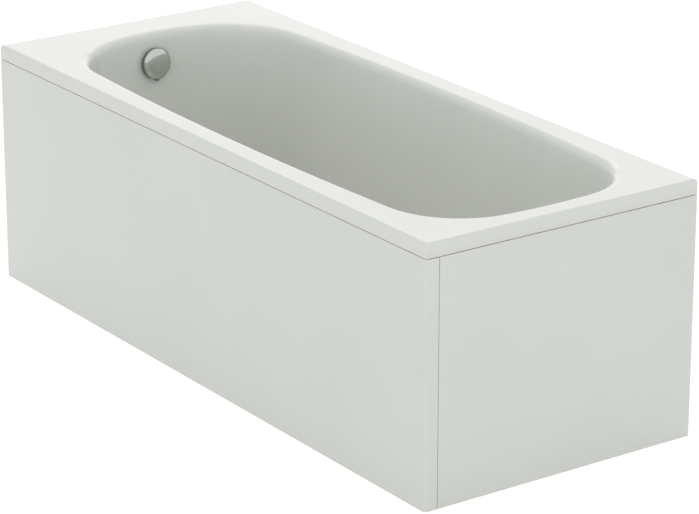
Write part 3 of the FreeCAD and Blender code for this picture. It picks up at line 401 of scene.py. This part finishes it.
def bend(centre, radius, start, stop):
    """(across, up) points along an arc, in degrees from the +across axis."""
    angles = [math.radians(start + (stop - start) * i / BEND_STEPS)
              for i in range(BEND_STEPS + 1)]
    return [(centre[0] + radius * math.cos(angle), centre[1] + radius * math.sin(angle))
            for angle in angles]


def eased_copy(node, name, radius):
    """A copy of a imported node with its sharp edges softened, which stands in for it."""
    bm = bmesh.new()
    bm.from_mesh(frame["nodes"][node].data)
    bmesh.ops.remove_doubles(bm, verts=bm.verts, dist=MESH_JOIN)
    bmesh.ops.dissolve_limit(bm, angle_limit=FLAT_TURN, verts=bm.verts, edges=bm.edges)
    sharp = [edge for edge in bm.edges if edge.calc_face_angle(0) > SHARP_TURN]
    bmesh.ops.bevel(bm, geom=sharp, offset=radius, segments=EASE_STEPS, profile=0.5,
                    affect="EDGES", material=-1)
    thing = finished(name, bm)
    body = next(body for body, nodes in frame["record"]["behaviour"]["bodies"].items()
                if node in nodes)
    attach(thing, body)
    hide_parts(node)
    return thing


# Surfaces -----------------------------------------------------------------------------


def linear(hex_value):
    """An sRGB hex value as the linear colour that a shader takes."""
    parts = [int(hex_value[i:i + 2], 16) / 255 for i in (0, 2, 4)]
    return [part / 12.92 if part <= 0.04045 else ((part + 0.055) / 1.055) ** 2.4
            for part in parts] + [1.0]


def shade(hex_value, factor):
    """The same hue, a little darker or lighter."""
    parts = [min(255, round(int(hex_value[i:i + 2], 16) * factor)) for i in (0, 2, 4)]
    return "%02X%02X%02X" % tuple(parts)


def add_node(tree, kind, inputs=None, **settings):
    """Add a node with its settings and links.

    An input is a value, a node's output, or a node, whose first output it takes."""
    node = tree.nodes.new(kind)
    for name, value in settings.items():
        setattr(node, name, value)
    for name, value in (inputs or {}).items():
        if isinstance(value, bpy.types.Node):
            value = value.outputs[0]
        if isinstance(value, bpy.types.NodeSocket):
            tree.links.new(value, node.inputs[name])
        else:
            node.inputs[name].default_value = value
    return node


def new_material(name, **sockets):
    """A material with its shader, and the object's own coordinates."""
    material = bpy.data.materials.new(name)
    material.use_nodes = True
    tree = material.node_tree
    shader = tree.nodes["Principled BSDF"]
    for socket, value in sockets.items():
        shader.inputs[socket].default_value = value
    place = add_node(tree, "ShaderNodeTexCoord").outputs["Object"]
    return material, tree, shader, place


def pattern(tree, place, size_mm, kind="Noise", stretch=(1, 1, 1), **inputs):
    """A texture with features of a real size.

    Below 1, stretch draws them out along an axis; above 1 it packs them closer."""
    mapped = add_node(tree, "ShaderNodeMapping", {"Vector": place, "Scale": stretch})
    return add_node(tree, "ShaderNodeTex" + kind, {
        "Vector": mapped, "Scale": 1 / (size_mm * MM), **inputs})


def surface(tree, shader, shades, tint, gloss=None, relief=None, span=NOISE_SPAN):
    """Lead patterns to the shader's colour, roughness and normal.

    tint runs between the two shades over its span of values. gloss is a pattern with
    its least and most roughness, relief a pattern with its height in millimetres."""
    steered = add_node(tree, "ShaderNodeMapRange", {
        "Value": tint, "From Min": span[0], "From Max": span[1]})
    mix = add_node(tree, "ShaderNodeMix", {"Factor": steered}, data_type="RGBA")
    ends = [socket for socket in mix.inputs if socket.type == "RGBA"]
    for socket, hex_value in zip(ends, shades):
        socket.default_value = linear(hex_value)
    colour = next(socket for socket in mix.outputs if socket.type == "RGBA")
    tree.links.new(colour, shader.inputs["Base Color"])
    if gloss:
        value, least, most = gloss
        rough = add_node(tree, "ShaderNodeMapRange", {
            "Value": value, "From Min": NOISE_SPAN[0], "From Max": NOISE_SPAN[1],
            "To Min": least, "To Max": most})
        tree.links.new(rough.outputs["Result"], shader.inputs["Roughness"])
    if relief:
        value, height_mm = relief
        bump = add_node(tree, "ShaderNodeBump", {
            "Height": value, "Distance": height_mm * MM})
        tree.links.new(bump.outputs["Normal"], shader.inputs["Normal"])


def cast_acrylic(name, colour):
    # Acrylic sheet drawn over a mould: deep gloss with a faint slow waviness, and a
    # tint that hardly changes
    material, tree, shader, place = new_material(name, Roughness=0.1, IOR=1.49)
    surface(tree, shader, (shade(colour, 0.992), colour),
            pattern(tree, place, 260, Detail=1.0),
            gloss=(pattern(tree, place, 38, Detail=2.0), 0.08, 0.13),
            relief=(pattern(tree, place, 24, Detail=1.0), 0.05))
    return material


def polished_chrome(name, colour):
    # Plated over polished brass or plastic: a grey mirror that dulls a little here and
    # there where it has been wiped
    material, tree, shader, place = new_material(name, Metallic=1.0, Roughness=0.1)
    surface(tree, shader, (shade(colour, 0.97), colour),
            pattern(tree, place, 9, Detail=3.0),
            gloss=(pattern(tree, place, 4, Detail=2.0), 0.07, 0.13),
            relief=(pattern(tree, place, 6, Detail=1.0), 0.004))
    return material


def dark_reflection_chrome(name, colour):
    # The knob's grip, plated chrome painted darker than its face as a painted dark
    # reflection, and softer in gloss
    material, tree, shader, place = new_material(name, Metallic=1.0, Roughness=0.3)
    surface(tree, shader, (shade(colour, 0.66), shade(colour, 0.7)),
            pattern(tree, place, 5, Detail=3.0),
            relief=(pattern(tree, place, 1.2, Detail=2.0), 0.006))
    return material


def sprayed_laminate(name):
    # Chopped glass strands rolled into resin behind the acrylic: matt, pale and uneven
    material, tree, shader, place = new_material(name, Roughness=0.62, IOR=1.53)
    strands = pattern(tree, place, 7, Detail=4.0)
    surface(tree, shader, ("C9C6B8", "DEDBD0"), strands, gloss=(strands, 0.52, 0.72),
            relief=(strands, 0.6))
    return material


def drawn_steel(name):
    # Bar drawn bright through a die: a mirror dulled by fine lines along its length,
    # which are 0.6 mm wide here, coarser than real, so that they show
    material, tree, shader, place = new_material(name, Metallic=1.0, Roughness=0.26)
    lines = pattern(tree, place, 0.6, stretch=(1, 0.05, 1), Detail=2.0)
    surface(tree, shader, ("A9ADB0", "C4C7C9"), lines, gloss=(lines, 0.2, 0.34),
            relief=(lines, 0.005))
    return material


def galvanised_steel(name):
    # Hot-dipped zinc: grey spangles of crystal, some brighter and some duller
    material, tree, shader, place = new_material(name, Metallic=0.9, Roughness=0.42)
    spangles = pattern(tree, place, 7, kind="Voronoi").outputs["Color"]
    level = add_node(tree, "ShaderNodeSeparateColor", {"Color": spangles})
    surface(tree, shader, ("8E9294", "B4B8BA"), level.outputs["Red"], span=CELL_SPAN,
            gloss=(level.outputs["Green"], 0.36, 0.52),
            relief=(pattern(tree, place, 2.5, Detail=3.0), 0.02))
    return material


def spring_steel(name):
    # Cold-rolled strip: long fine rolling lines, drawn 1.5 mm wide so that they show
    material, tree, shader, place = new_material(name, Metallic=1.0, Roughness=0.3)
    lines = pattern(tree, place, 1.5, stretch=(1, 1, 12), Detail=3.0)
    surface(tree, shader, ("80858A", "9BA0A5"), lines, gloss=(lines, 0.24, 0.38),
            relief=(lines, 0.01))
    return material


def threaded_steel(name, pitch_mm):
    # Zinc-plated rod with a rolled thread, painted lighter on its crests and darker in its
    # grooves: painted highlight and painted shade
    material, tree, shader, place = new_material(name, Metallic=0.95, Roughness=0.34)
    thread = add_node(tree, "ShaderNodeTexWave", {
        "Vector": place, "Scale": math.tau / (pitch_mm * MM) / WAVE_RADIANS,
        "Distortion": 0.0}, wave_type="BANDS", bands_direction="Z", wave_profile="TRI")
    height = thread.outputs["Fac"]
    # The thread's height also sets its colour: painted highlight on the crests, painted
    # shade in the grooves
    surface(tree, shader, ("7F8489", "C2C6C8"), height, span=CELL_SPAN,
            relief=(height, 0.7))
    return material


def planed_timber(name):
    # Planed softwood: pale bands of growth along the batten
    material, tree, shader, place = new_material(name, Roughness=0.62, IOR=1.45)
    surface(tree, shader, ("A9824F", "D3B486"),
            pattern(tree, place, 9, stretch=(0.04, 1, 1), Detail=4.0),
            relief=(pattern(tree, place, 1.6, stretch=(0.06, 1, 1), Detail=3.0), 0.08))
    return material


def pressed_chipboard(name):
    # Resin-bonded chips pressed flat: short pale and dark flakes
    material, tree, shader, place = new_material(name, Roughness=0.78, IOR=1.45)
    flakes = pattern(tree, place, 5, kind="Voronoi", stretch=(1, 1.7, 3))
    level = add_node(tree, "ShaderNodeSeparateColor", {
        "Color": flakes.outputs["Color"]})
    surface(tree, shader, ("8E6D41", "C9A876"), level.outputs["Blue"], span=CELL_SPAN,
            relief=(flakes.outputs["Distance"], 0.12))
    return material


def moulded_plastic(name, colour, roughness):
    # Injection-moulded plastic with the fine texture of a spark-eroded mould, drawn
    # 0.9 mm wide, coarser than real, so that it shows
    material, tree, shader, place = new_material(name, Roughness=roughness, IOR=1.46)
    surface(tree, shader, (shade(colour, 0.95), colour),
            pattern(tree, place, 40, Detail=3.0),
            gloss=(pattern(tree, place, 3, Detail=3.0), roughness - 0.06,
                   roughness + 0.06),
            relief=(pattern(tree, place, 0.9, Detail=2.0), 0.02))
    return material


def moulded_rubber(name):
    # Vulcanised rubber: nearly black, dusty where it has rubbed
    material, tree, shader, place = new_material(name, Roughness=0.8, IOR=1.52)
    surface(tree, shader, ("1B1B1C", "2C2C2D"), pattern(tree, place, 6, Detail=5.0),
            relief=(pattern(tree, place, 1.1, Detail=3.0), 0.03))
    return material


def make_materials():
    """Every finish by its slot in the record, and three more that share a slot."""
    colours = bpy.context.scene.bath_colours
    return {
        "shell_acrylic": cast_acrylic("cast acrylic", colours.acrylic),
        "panel_acrylic": cast_acrylic("acrylic sheet", colours.panel),
        "timber": planed_timber("planed softwood"),
        "chipboard": pressed_chipboard("pressed chipboard"),
        "zinc_steel": galvanised_steel("galvanised steel"),
        "spring_steel": spring_steel("rolled spring steel"),
        "foot_plastic": moulded_plastic("moulded black nylon", "202123", 0.5),
        "chrome": polished_chrome("polished chrome plating", colours.chrome),
        "rubber": moulded_rubber("vulcanised rubber"),
        "waste_plastic": moulded_plastic("moulded white polypropylene", "E6E6E1", 0.4),
        "hose_plastic": moulded_plastic("flexible grey PVC", "8F9295", 0.38),
        "cable_sheath": moulded_plastic("extruded black PVC", "1A1A1C", 0.42),
        "bright_steel": drawn_steel("drawn bright steel"),
        # The knob's flank: chrome painted darker, a painted dark reflection
        "knob_flank_painted_dark": dark_reflection_chrome("unpolished chrome plating", colours.chrome),
        "stud_thread": threaded_steel("rolled zinc-plated thread", STUD_PITCH),
        "laminate": sprayed_laminate("sprayed glass-fibre laminate"),
    }


def dress(thing, slot, finishes):
    """Give a piece one finish, by its slot's name."""
    thing.data.materials.clear()
    thing.data.materials.append(finishes[slot])


# Pieces -------------------------------------------------------------------------------


def basin_inset(depth, slope, roll, floor_bend, full_depth):
    """How far a wall has come in from the opening at a depth."""
    roll_end = roll * (1 - math.sin(slope))
    bend_start = full_depth - floor_bend * (1 - math.sin(slope))
    if depth <= roll_end:
        return math.sqrt(max(roll ** 2 - (roll - depth) ** 2, 0))
    straight = (roll * math.cos(slope)
                + (min(depth, bend_start) - roll_end) * math.tan(slope))
    if depth <= bend_start:
        return straight
    height = floor_bend - (full_depth - depth)
    reach = math.sqrt(max(floor_bend ** 2 - height ** 2, 0))
    return straight + floor_bend * math.cos(slope) - reach


def basin_rings(sizes, top, growth):
    """Level outlines down the basin: roll, walls and the bend into the floor."""
    low, high = (Vector(corner) for corner in CAD_BOUNDS)
    full = high.z - sizes.floor_height
    roll, floor_bend = sizes.roll - growth, sizes.floor_bend + growth
    half_length = (high.x - low.x - sizes.rim_width_drain - sizes.rim_width_head) / 2
    middle = (sizes.rim_width_drain - sizes.rim_width_head) / 2
    half_width = (high.y - low.y) / 2 - sizes.rim_width_side
    depths = [roll * (1 - math.cos(math.radians(90 * i / BEND_STEPS / ROLL_CUT)))
              for i in range(BEND_STEPS + 1)]
    steps = 2 * BEND_STEPS
    wall_end = full - floor_bend * (1 - math.sin(sizes.drain_draft))
    depths += [roll + (wall_end - roll) * i / steps for i in range(steps)]
    first = math.degrees(min(sizes.drain_draft, sizes.backrest_slope))
    angles = [math.radians(first + (90 - first) * i / steps) for i in range(steps + 1)]
    depths += [full - floor_bend * (1 - math.sin(angle)) for angle in angles]
    side_full = basin_inset(full, sizes.side_draft, roll, floor_bend, full)
    rings = []
    for depth in depths:
        side = basin_inset(depth, sizes.side_draft, roll, floor_bend, full)
        ends = []
        for slope, arc, corner, corner_low in (
                (sizes.backrest_slope, sizes.head_arc, sizes.head_corner,
                 sizes.head_corner_low),
                (sizes.drain_draft, sizes.drain_arc, sizes.drain_corner,
                 sizes.drain_corner_low)):
            inset = basin_inset(depth, slope, roll, floor_bend, full)
            ends.append((half_length - inset, arc,
                         corner + (corner_low + growth - corner) * side / side_full))
        rings.append(outline(middle, half_width - side, sizes.side_arc, ends,
                             top - depth))
    return rings


def rectangle_ring(inset, corner, height):
    """A ring round the rim, brought in by an inset, with rounded corners."""
    low, high = (Vector(bound) for bound in CAD_BOUNDS)
    reach, half_width = (high.x - low.x) / 2 - inset, (high.y - low.y) / 2 - inset
    end = (reach, STRAIGHT, max(corner, LEAST))
    return outline(0, half_width, STRAIGHT, (end, end), height)


def ring_between(ring, share, other):
    """A ring at a share of the way from one ring to another."""
    return [a.lerp(b, share) for a, b in zip(ring, other)]


def circle_like(ring, centre, radius, height):
    """A circle whose points lie in the directions of another ring's points."""
    points = []
    for point in ring:
        way = Vector((point.x - centre, point.y, 0)).normalized()
        points.append(Vector((centre, 0, height)) + way * radius)
    return points


def overflow_matrix():
    """Turns a piece from the Z axis to the knob's axis, and puts it in its place."""
    sizes = bpy.context.scene.bath_shell
    fittings = bpy.context.scene.bath_fittings
    turn = Matrix.Rotation(math.pi / 2 - sizes.drain_draft, 4, "Y")
    height = CAD_BOUNDS[1][2] - fittings.overflow_drop
    return Matrix.Translation((fittings.overflow_wall, 0, height)) @ turn


class BATH_OT_shell(Operator):
    """Build the acrylic shell as one smooth closed skin"""
    bl_idname = "bath.shell"
    bl_label = "Acrylic shell"

    def execute(self, context):
        sizes = context.scene.bath_shell
        top = CAD_BOUNDS[1][2]
        wall, edge, corner = sizes.wall, sizes.rim_edge, sizes.rim_corner
        inside = basin_rings(sizes, top, 0)
        outside = basin_rings(sizes, top - wall, wall)
        seat = sizes.floor_height - sizes.recess_depth

        def round_drain(ring, radius, height):
            return circle_like(ring, sizes.drain_place, radius, height)

        floor, below = inside[-1], outside[-1]
        rings = [round_drain(floor, sizes.drain_hole, seat - wall),
                 round_drain(floor, sizes.drain_hole, seat - SOFT),
                 round_drain(floor, sizes.drain_hole + SOFT, seat),
                 round_drain(floor, sizes.recess_radius - 2 * SOFT, seat),
                 round_drain(floor, sizes.recess_radius - SOFT, seat + SOFT),
                 round_drain(floor, sizes.recess_radius, sizes.floor_height - SOFT)]
        recess = round_drain(floor, sizes.recess_radius + SOFT, sizes.floor_height)
        rings.append(recess)
        rings += [ring_between(recess, share, floor) for share in BESIDE_RECESS]
        rings += reversed(inside)
        flat = rectangle_ring(edge, 0, top)
        rings.append(ring_between(inside[0], BESIDE_ROLL, flat))
        rings.append(rectangle_ring(edge + 2 * SOFT, 0, top))
        for across, up in bend((-edge, -edge), edge, 90, 0):
            rings.append(rectangle_ring(-across, corner + across, top + up))
        lip = top - sizes.rim_depth
        rings += [rectangle_ring(0, corner, top - edge - SOFT),
                  rectangle_ring(0, corner, lip + SOFT / 2),
                  rectangle_ring(SOFT / 2, corner - SOFT / 2, lip),
                  rectangle_ring(wall - SOFT, corner - wall + SOFT, lip),
                  rectangle_ring(wall, corner - wall, lip + SOFT),
                  rectangle_ring(wall, corner - wall, top - wall - SOFT),
                  rectangle_ring(wall + SOFT, corner - wall, top - wall)]
        # The skin's back starts behind the rim's turned-down edge
        first_back = len(rings) - 2
        rings += outside
        under, level = seat - wall, below[0].z
        dish = sizes.recess_radius + wall
        rings.append(ring_between(below, BESIDE_ROLL,
                                  round_drain(below, UNDERSIDE_RING, level)))
        rings += [round_drain(below, dish, level), round_drain(below, dish, under),
                  round_drain(below, dish - SOFT, under),
                  round_drain(below, sizes.drain_hole + SOFT, under), rings[0]]
        shell = lofted("acrylic_shell", rings, range(first_back, len(rings) - 1))
        finishes = shared_finishes()
        for finish in ("shell_acrylic", "laminate"):
            shell.data.materials.append(finishes[finish])
        drill = self.overflow_drill(sizes)
        cut = shell.modifiers.new("overflow_hole", "BOOLEAN")
        cut.operation, cut.object, cut.solver = "DIFFERENCE", drill, "EXACT"
        graph = context.evaluated_depsgraph_get()
        shell.data = bpy.data.meshes.new_from_object(shell.evaluated_get(graph))
        shell.modifiers.clear()
        bpy.data.objects.remove(drill)
        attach(shell, "bath")
        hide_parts("tub_shell")
        return {"FINISHED"}

    def overflow_drill(self, sizes):
        """A cylinder, longer than the wall is thick, that cuts the overflow's hole."""
        bm = bmesh.new()
        radius = sizes.overflow_hole
        bmesh.ops.create_cone(bm, cap_ends=True, segments=DRILL_SIDES, radius1=radius,
                              radius2=radius, depth=DRILL_DEPTH,
                              matrix=overflow_matrix())
        return finished("drill", bm)


class BATH_OT_panels(Operator):
    """Soften the edges of the front panel and the end panel"""
    bl_idname = "bath.panels"
    bl_label = "Panels"

    def execute(self, context):
        for node in ("front_panel", "end_panel"):
            panel = eased_copy(node, "finished_" + node,
                               context.scene.bath_shell.panel_edge)
            dress(panel, "panel_acrylic", shared_finishes())
        return {"FINISHED"}


class BATH_OT_knob(Operator):
    """Build the domed knob with its finger lug"""
    bl_idname = "bath.knob"
    bl_label = "Knob"

    def execute(self, context):
        sizes = context.scene.bath_fittings
        radius, edge = sizes.knob_radius, sizes.knob_edge
        back, front = sizes.knob_back, sizes.knob_back + sizes.knob_depth
        shoulder = front - sizes.knob_crown
        wall = sizes.knob_wall
        flat = radius - edge
        dome = [(flat - flat * (1 - math.cos(angle)),
                 shoulder + sizes.knob_crown * math.sin(angle))
                for angle in map(math.radians, KNOB_DOME)]
        profile = ([(0, shoulder - wall), (flat - wall, shoulder - wall),
                    (radius - wall, shoulder - edge - wall),
                    (radius - wall, back + FINE), (radius - wall + FINE, back),
                    (radius - SOFT, back), (radius, back + SOFT)]
                   + bend((flat, shoulder - edge), edge, 0, 90) + dome + [(0, front)])
        knob = turned("knob", profile, overflow_matrix())
        self.add_lug(knob, radius - edge / 2, back)
        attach(knob, "knob")
        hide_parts("overflow_knob")
        dress(knob, "chrome", shared_finishes())
        # The flank's faces take the second chrome, painted darker than the face: a painted
        # dark reflection
        knob.data.materials.append(shared_finishes()["knob_flank_painted_dark"])
        place = overflow_matrix().inverted()
        for face in knob.data.polygons:
            centre = place @ face.center
            if math.hypot(centre.x, centre.y) > radius - edge * FLANK_SHARE:
                face.material_index = 1
        return {"FINISHED"}

    def add_lug(self, knob, start, back):
        """A rounded finger lug on the knob's rim, below at rest."""
        bm = bmesh.new()
        bm.from_mesh(knob.data)
        lug = bmesh.ops.create_cube(bm, size=1)["verts"]
        reach, width, height, soft = 5.5 * MM, 9 * MM, 8 * MM, 1.6 * MM
        place = Matrix.Translation((start + reach / 2, 0, back + height / 2))
        bmesh.ops.transform(bm, matrix=overflow_matrix() @ place
                            @ Matrix.Diagonal((reach, width, height, 1)), verts=lug)
        edges = {edge for vert in lug for edge in vert.link_edges}
        bmesh.ops.bevel(bm, geom=list(edges), offset=soft, segments=LUG_STEPS,
                        profile=0.5, affect="EDGES", material=-1)
        for face in bm.faces:
            face.smooth = True
        bm.to_mesh(knob.data)
        bm.free()


class BATH_OT_plug(Operator):
    """Build the domed plug on its stem"""
    bl_idname = "bath.plug"
    bl_label = "Plug"

    def execute(self, context):
        low, high = (Vector(corner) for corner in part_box("pop_up_plug"))
        radius, top = (high.x - low.x) / 2, high.z
        # The cap's height and the upright part of it, the dome's step in, the stem's
        # radius, and the radius and height of the taper at its foot
        cap, upright, step = 5 * MM, 2.5 * MM, 0.8 * MM
        stem, tip, taper = 4 * MM, 3 * MM, 2 * MM
        rim = top - cap
        dome = [(radius * math.cos(angle) - step,
                 rim + upright + (top - rim - upright) * math.sin(angle))
                for angle in map(math.radians, PLUG_DOME)]
        profile = ([(0, low.z), (tip, low.z), (stem, low.z + taper), (stem, rim),
                    (radius - SOFT, rim), (radius, rim + SOFT),
                    (radius, rim + upright - SOFT), (radius - SOFT, rim + upright)]
                   + dome + [(0, top)])
        middle = (low + high) / 2
        plug = turned("plug", profile, Matrix.Translation((middle.x, middle.y, 0)))
        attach(plug, "plug")
        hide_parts("pop_up_plug")
        dress(plug, "chrome", shared_finishes())
        return {"FINISHED"}


class BATH_OT_hose(Operator):
    """Build the ribbed hose from the overflow's spout to the waste"""
    bl_idname = "bath.hose"
    bl_label = "Overflow hose"

    def execute(self, context):
        shell, sizes = context.scene.bath_shell, context.scene.bath_fittings
        turned_frame = overflow_matrix()
        start = turned_frame @ Vector((sizes.spout_reach, 0, -sizes.spout_stand_off))
        down = turned_frame.to_3x3() @ Vector((1, 0, 0))
        end = Vector((shell.drain_place - sizes.port_length, 0,
                      shell.floor_height - shell.recess_depth - sizes.port_depth))
        along, bend_radius = Vector((1, 0, 0)), sizes.hose_bend
        corner = start + down * ((end.z - start.z) / down.z)
        turn = down.angle(along)
        cut_off = bend_radius * math.tan(turn / 2)
        inward = (along - down * math.cos(turn)).normalized()
        drop = (corner - start).length - cut_off
        length = drop + bend_radius * turn + (end - corner).length - cut_off

        def ring(distance, radius):
            if distance < drop:
                centre, way = start + down * distance, down
            elif distance < drop + bend_radius * turn:
                angle = (distance - drop) / bend_radius
                way = down * math.cos(angle) + inward * math.sin(angle)
                centre = (start + down * (drop + bend_radius * math.sin(angle))
                          + inward * bend_radius * (1 - math.cos(angle)))
            else:
                centre, way = end - along * (length - distance), along
            side = Vector((0, 1, 0))
            up = way.cross(side)
            return [centre + radius * (side * math.cos(angle) + up * math.sin(angle))
                    for angle in (math.tau * i / HOSE_SIDES for i in range(HOSE_SIDES))]

        steps = RIB_STEPS * sizes.hose_ribs
        crest, gap = sizes.hose_rib_height / 2, 0.3 * MM
        rings = []
        for step in range(steps + 1):
            distance = gap + (length - 2 * gap) * step / steps
            rings.append(ring(distance, sizes.hose_radius - crest
                              - crest * math.cos(math.tau * step / RIB_STEPS)))
        for step in range(steps, -1, -RIB_STEPS):
            rings.append(ring(gap + (length - 2 * gap) * step / steps, sizes.hose_bore))
        hose = lofted("ribbed_hose", rings + [rings[0]])
        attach(hose, "bath")
        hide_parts("overflow_hose")
        dress(hose, "hose_plastic", shared_finishes())
        return {"FINISHED"}


class BATH_OT_hardware(Operator):
    """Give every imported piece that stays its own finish"""
    bl_idname = "bath.hardware"
    bl_label = "Hardware"

    def execute(self, context):
        finishes = shared_finishes()
        for part in frame["record"]["subparts"]:
            threaded = part["node"].startswith("foot_stud")
            dress(frame["nodes"][part["node"]],
                  "stud_thread" if threaded else part["material_slot"], finishes)
        return {"FINISHED"}


class BATH_OT_studio(Operator):
    """Build the floor, the light and the camera"""
    bl_idname = "bath.studio"
    bl_label = "Studio"

    def execute(self, context):
        self.add_floor()
        self.add_world(context.scene)
        self.add_lamps(context.scene.bath_studio)
        self.add_camera(context.scene)
        context.scene.view_settings.view_transform = "Standard"
        return {"FINISHED"}

    def add_floor(self):
        """A plain pale floor that keeps the bath's shadow."""
        bm = bmesh.new()
        bmesh.ops.create_grid(bm, x_segments=1, y_segments=1, size=FLOOR_REACH)
        floor = finished("floor", bm)
        # Matt paint, rolled on: even and pale, with hardly any change of tint
        material, tree, shader, place = new_material("painted floor", Roughness=0.9)
        colour = bpy.context.scene.bath_colours.floor
        surface(tree, shader, (shade(colour, 0.995), colour),
                pattern(tree, place, 400, Detail=3.0))
        self.whiten(tree, shader.outputs["BSDF"])
        floor.data.materials.append(material)

    def whiten(self, tree, lit):
        """Show the camera mostly plain white, and keep a share of the lit surface."""
        seen = add_node(tree, "ShaderNodeMath", {
            0: self.backdrop_ray(tree), 1: FLOOR_GLOW_SHARE}, operation="MULTIPLY")
        white = add_node(tree, "ShaderNodeEmission", {
            "Color": WHITE, "Strength": FLOOR_GLOW})
        mix = add_node(tree, "ShaderNodeMixShader", {0: seen, 1: lit, 2: white})
        tree.links.new(mix.outputs["Shader"],
                       tree.nodes["Material Output"].inputs["Surface"])

    def backdrop_ray(self, tree):
        """1 for a ray that sees the backdrop straight, mirrored or through glass."""
        path = add_node(tree, "ShaderNodeLightPath")
        seen = path.outputs["Is Camera Ray"]
        for kind in ("Is Glossy Ray", "Is Transmission Ray"):
            seen = add_node(tree, "ShaderNodeMath", {0: seen, 1: path.outputs[kind]},
                            operation="MAXIMUM")
        return seen

    def add_world(self, scene):
        """Even light from all round, and plain white where the backdrop is seen."""
        world = bpy.data.worlds.new("studio")
        scene.world = world
        world.use_nodes = True
        tree = world.node_tree
        light = tree.nodes["Background"]
        light.inputs["Color"].default_value = WHITE
        light.inputs["Strength"].default_value = scene.bath_studio.world_strength
        backdrop = add_node(tree, "ShaderNodeBackground", {
            "Color": WHITE, "Strength": 1.0})
        mix = add_node(tree, "ShaderNodeMixShader", {
            0: self.backdrop_ray(tree), 1: light, 2: backdrop})
        tree.links.new(mix.outputs["Shader"],
                       tree.nodes["World Output"].inputs["Surface"])

    def add_lamps(self, studio):
        """Wide lamps, each turned to its point on the bath."""
        for name, power, width, height, place, aim in LAMPS:
            lamp = bpy.data.lights.new(name, "AREA")
            lamp.shape, lamp.energy = "RECTANGLE", getattr(studio, power)
            lamp.size, lamp.size_y = width, height
            thing = bpy.data.objects.new(name, lamp)
            thing.location = place
            way = Vector(aim) - Vector(place)
            thing.rotation_euler = way.to_track_quat("-Z", "Y").to_euler()
            bpy.context.scene.collection.objects.link(thing)
            thing.visible_glossy = name != UNMIRRORED_LAMP

    def add_camera(self, scene):
        """A camera looks along its own -Z. Its X is level here, but for the roll."""
        studio = scene.bath_studio
        az, el = studio.camera_azimuth, studio.camera_elevation
        back = Vector((math.sin(az) * math.cos(el), -math.cos(az) * math.cos(el),
                       math.sin(el)))
        right = Vector((math.cos(az), math.sin(az), 0))
        up = back.cross(right)
        turn = Matrix((right, up, back)).transposed()
        turn = turn @ Matrix.Rotation(studio.camera_roll, 3, "Z")
        camera = bpy.data.cameras.new("camera")
        camera.lens, camera.sensor_width = studio.lens, SENSOR_WIDTH
        camera.sensor_fit = "HORIZONTAL"
        thing = bpy.data.objects.new("camera", camera)
        thing.matrix_world = Matrix.Translation(studio.camera_place) @ turn.to_4x4()
        scene.collection.objects.link(thing)
        scene.camera = thing


class BATH_PT_sidebar(Panel):
    """Every step of the bath, in the order in which main runs them"""
    bl_idname = "BATH_PT_sidebar"
    bl_label = "Bathtub"
    bl_space_type = "VIEW_3D"
    bl_region_type = "UI"
    bl_category = "Bathtub"

    def draw(self, context):
        for step in STEPS:
            self.layout.operator(step.bl_idname)
        for group in ("bath_shell", "bath_fittings", "bath_colours", "bath_studio"):
            settings = getattr(context.scene, group)
            for name in settings.bl_rna.properties.keys():
                if name not in ("rna_type", "name"):
                    self.layout.prop(settings, name)


GROUPS = {"bath_shell": ShellSizes, "bath_fittings": FittingSizes,
          "bath_colours": FinishColours, "bath_studio": StudioSizes}
STEPS = (BATH_OT_studio, BATH_OT_hardware, BATH_OT_shell, BATH_OT_panels, BATH_OT_knob,
         BATH_OT_plug, BATH_OT_hose)
MADE_FINISHES = {}


def shared_finishes():
    """The finishes, made once and shared by every operator."""
    if not MADE_FINISHES:
        MADE_FINISHES.update(make_materials())
    return MADE_FINISHES


def register():
    for kind in (*GROUPS.values(), *STEPS, BATH_PT_sidebar):
        bpy.utils.register_class(kind)
    for name, kind in GROUPS.items():
        setattr(bpy.types.Scene, name, PointerProperty(type=kind))


def unregister():
    for name in GROUPS:
        delattr(bpy.types.Scene, name)
    for kind in (BATH_PT_sidebar, *reversed(STEPS), *GROUPS.values()):
        bpy.utils.unregister_class(kind)


def main():
    register()
    for step in STEPS:
        group, name = step.bl_idname.split(".")
        getattr(getattr(bpy.ops, group), name)()


if __name__ == "__main__":
    main()
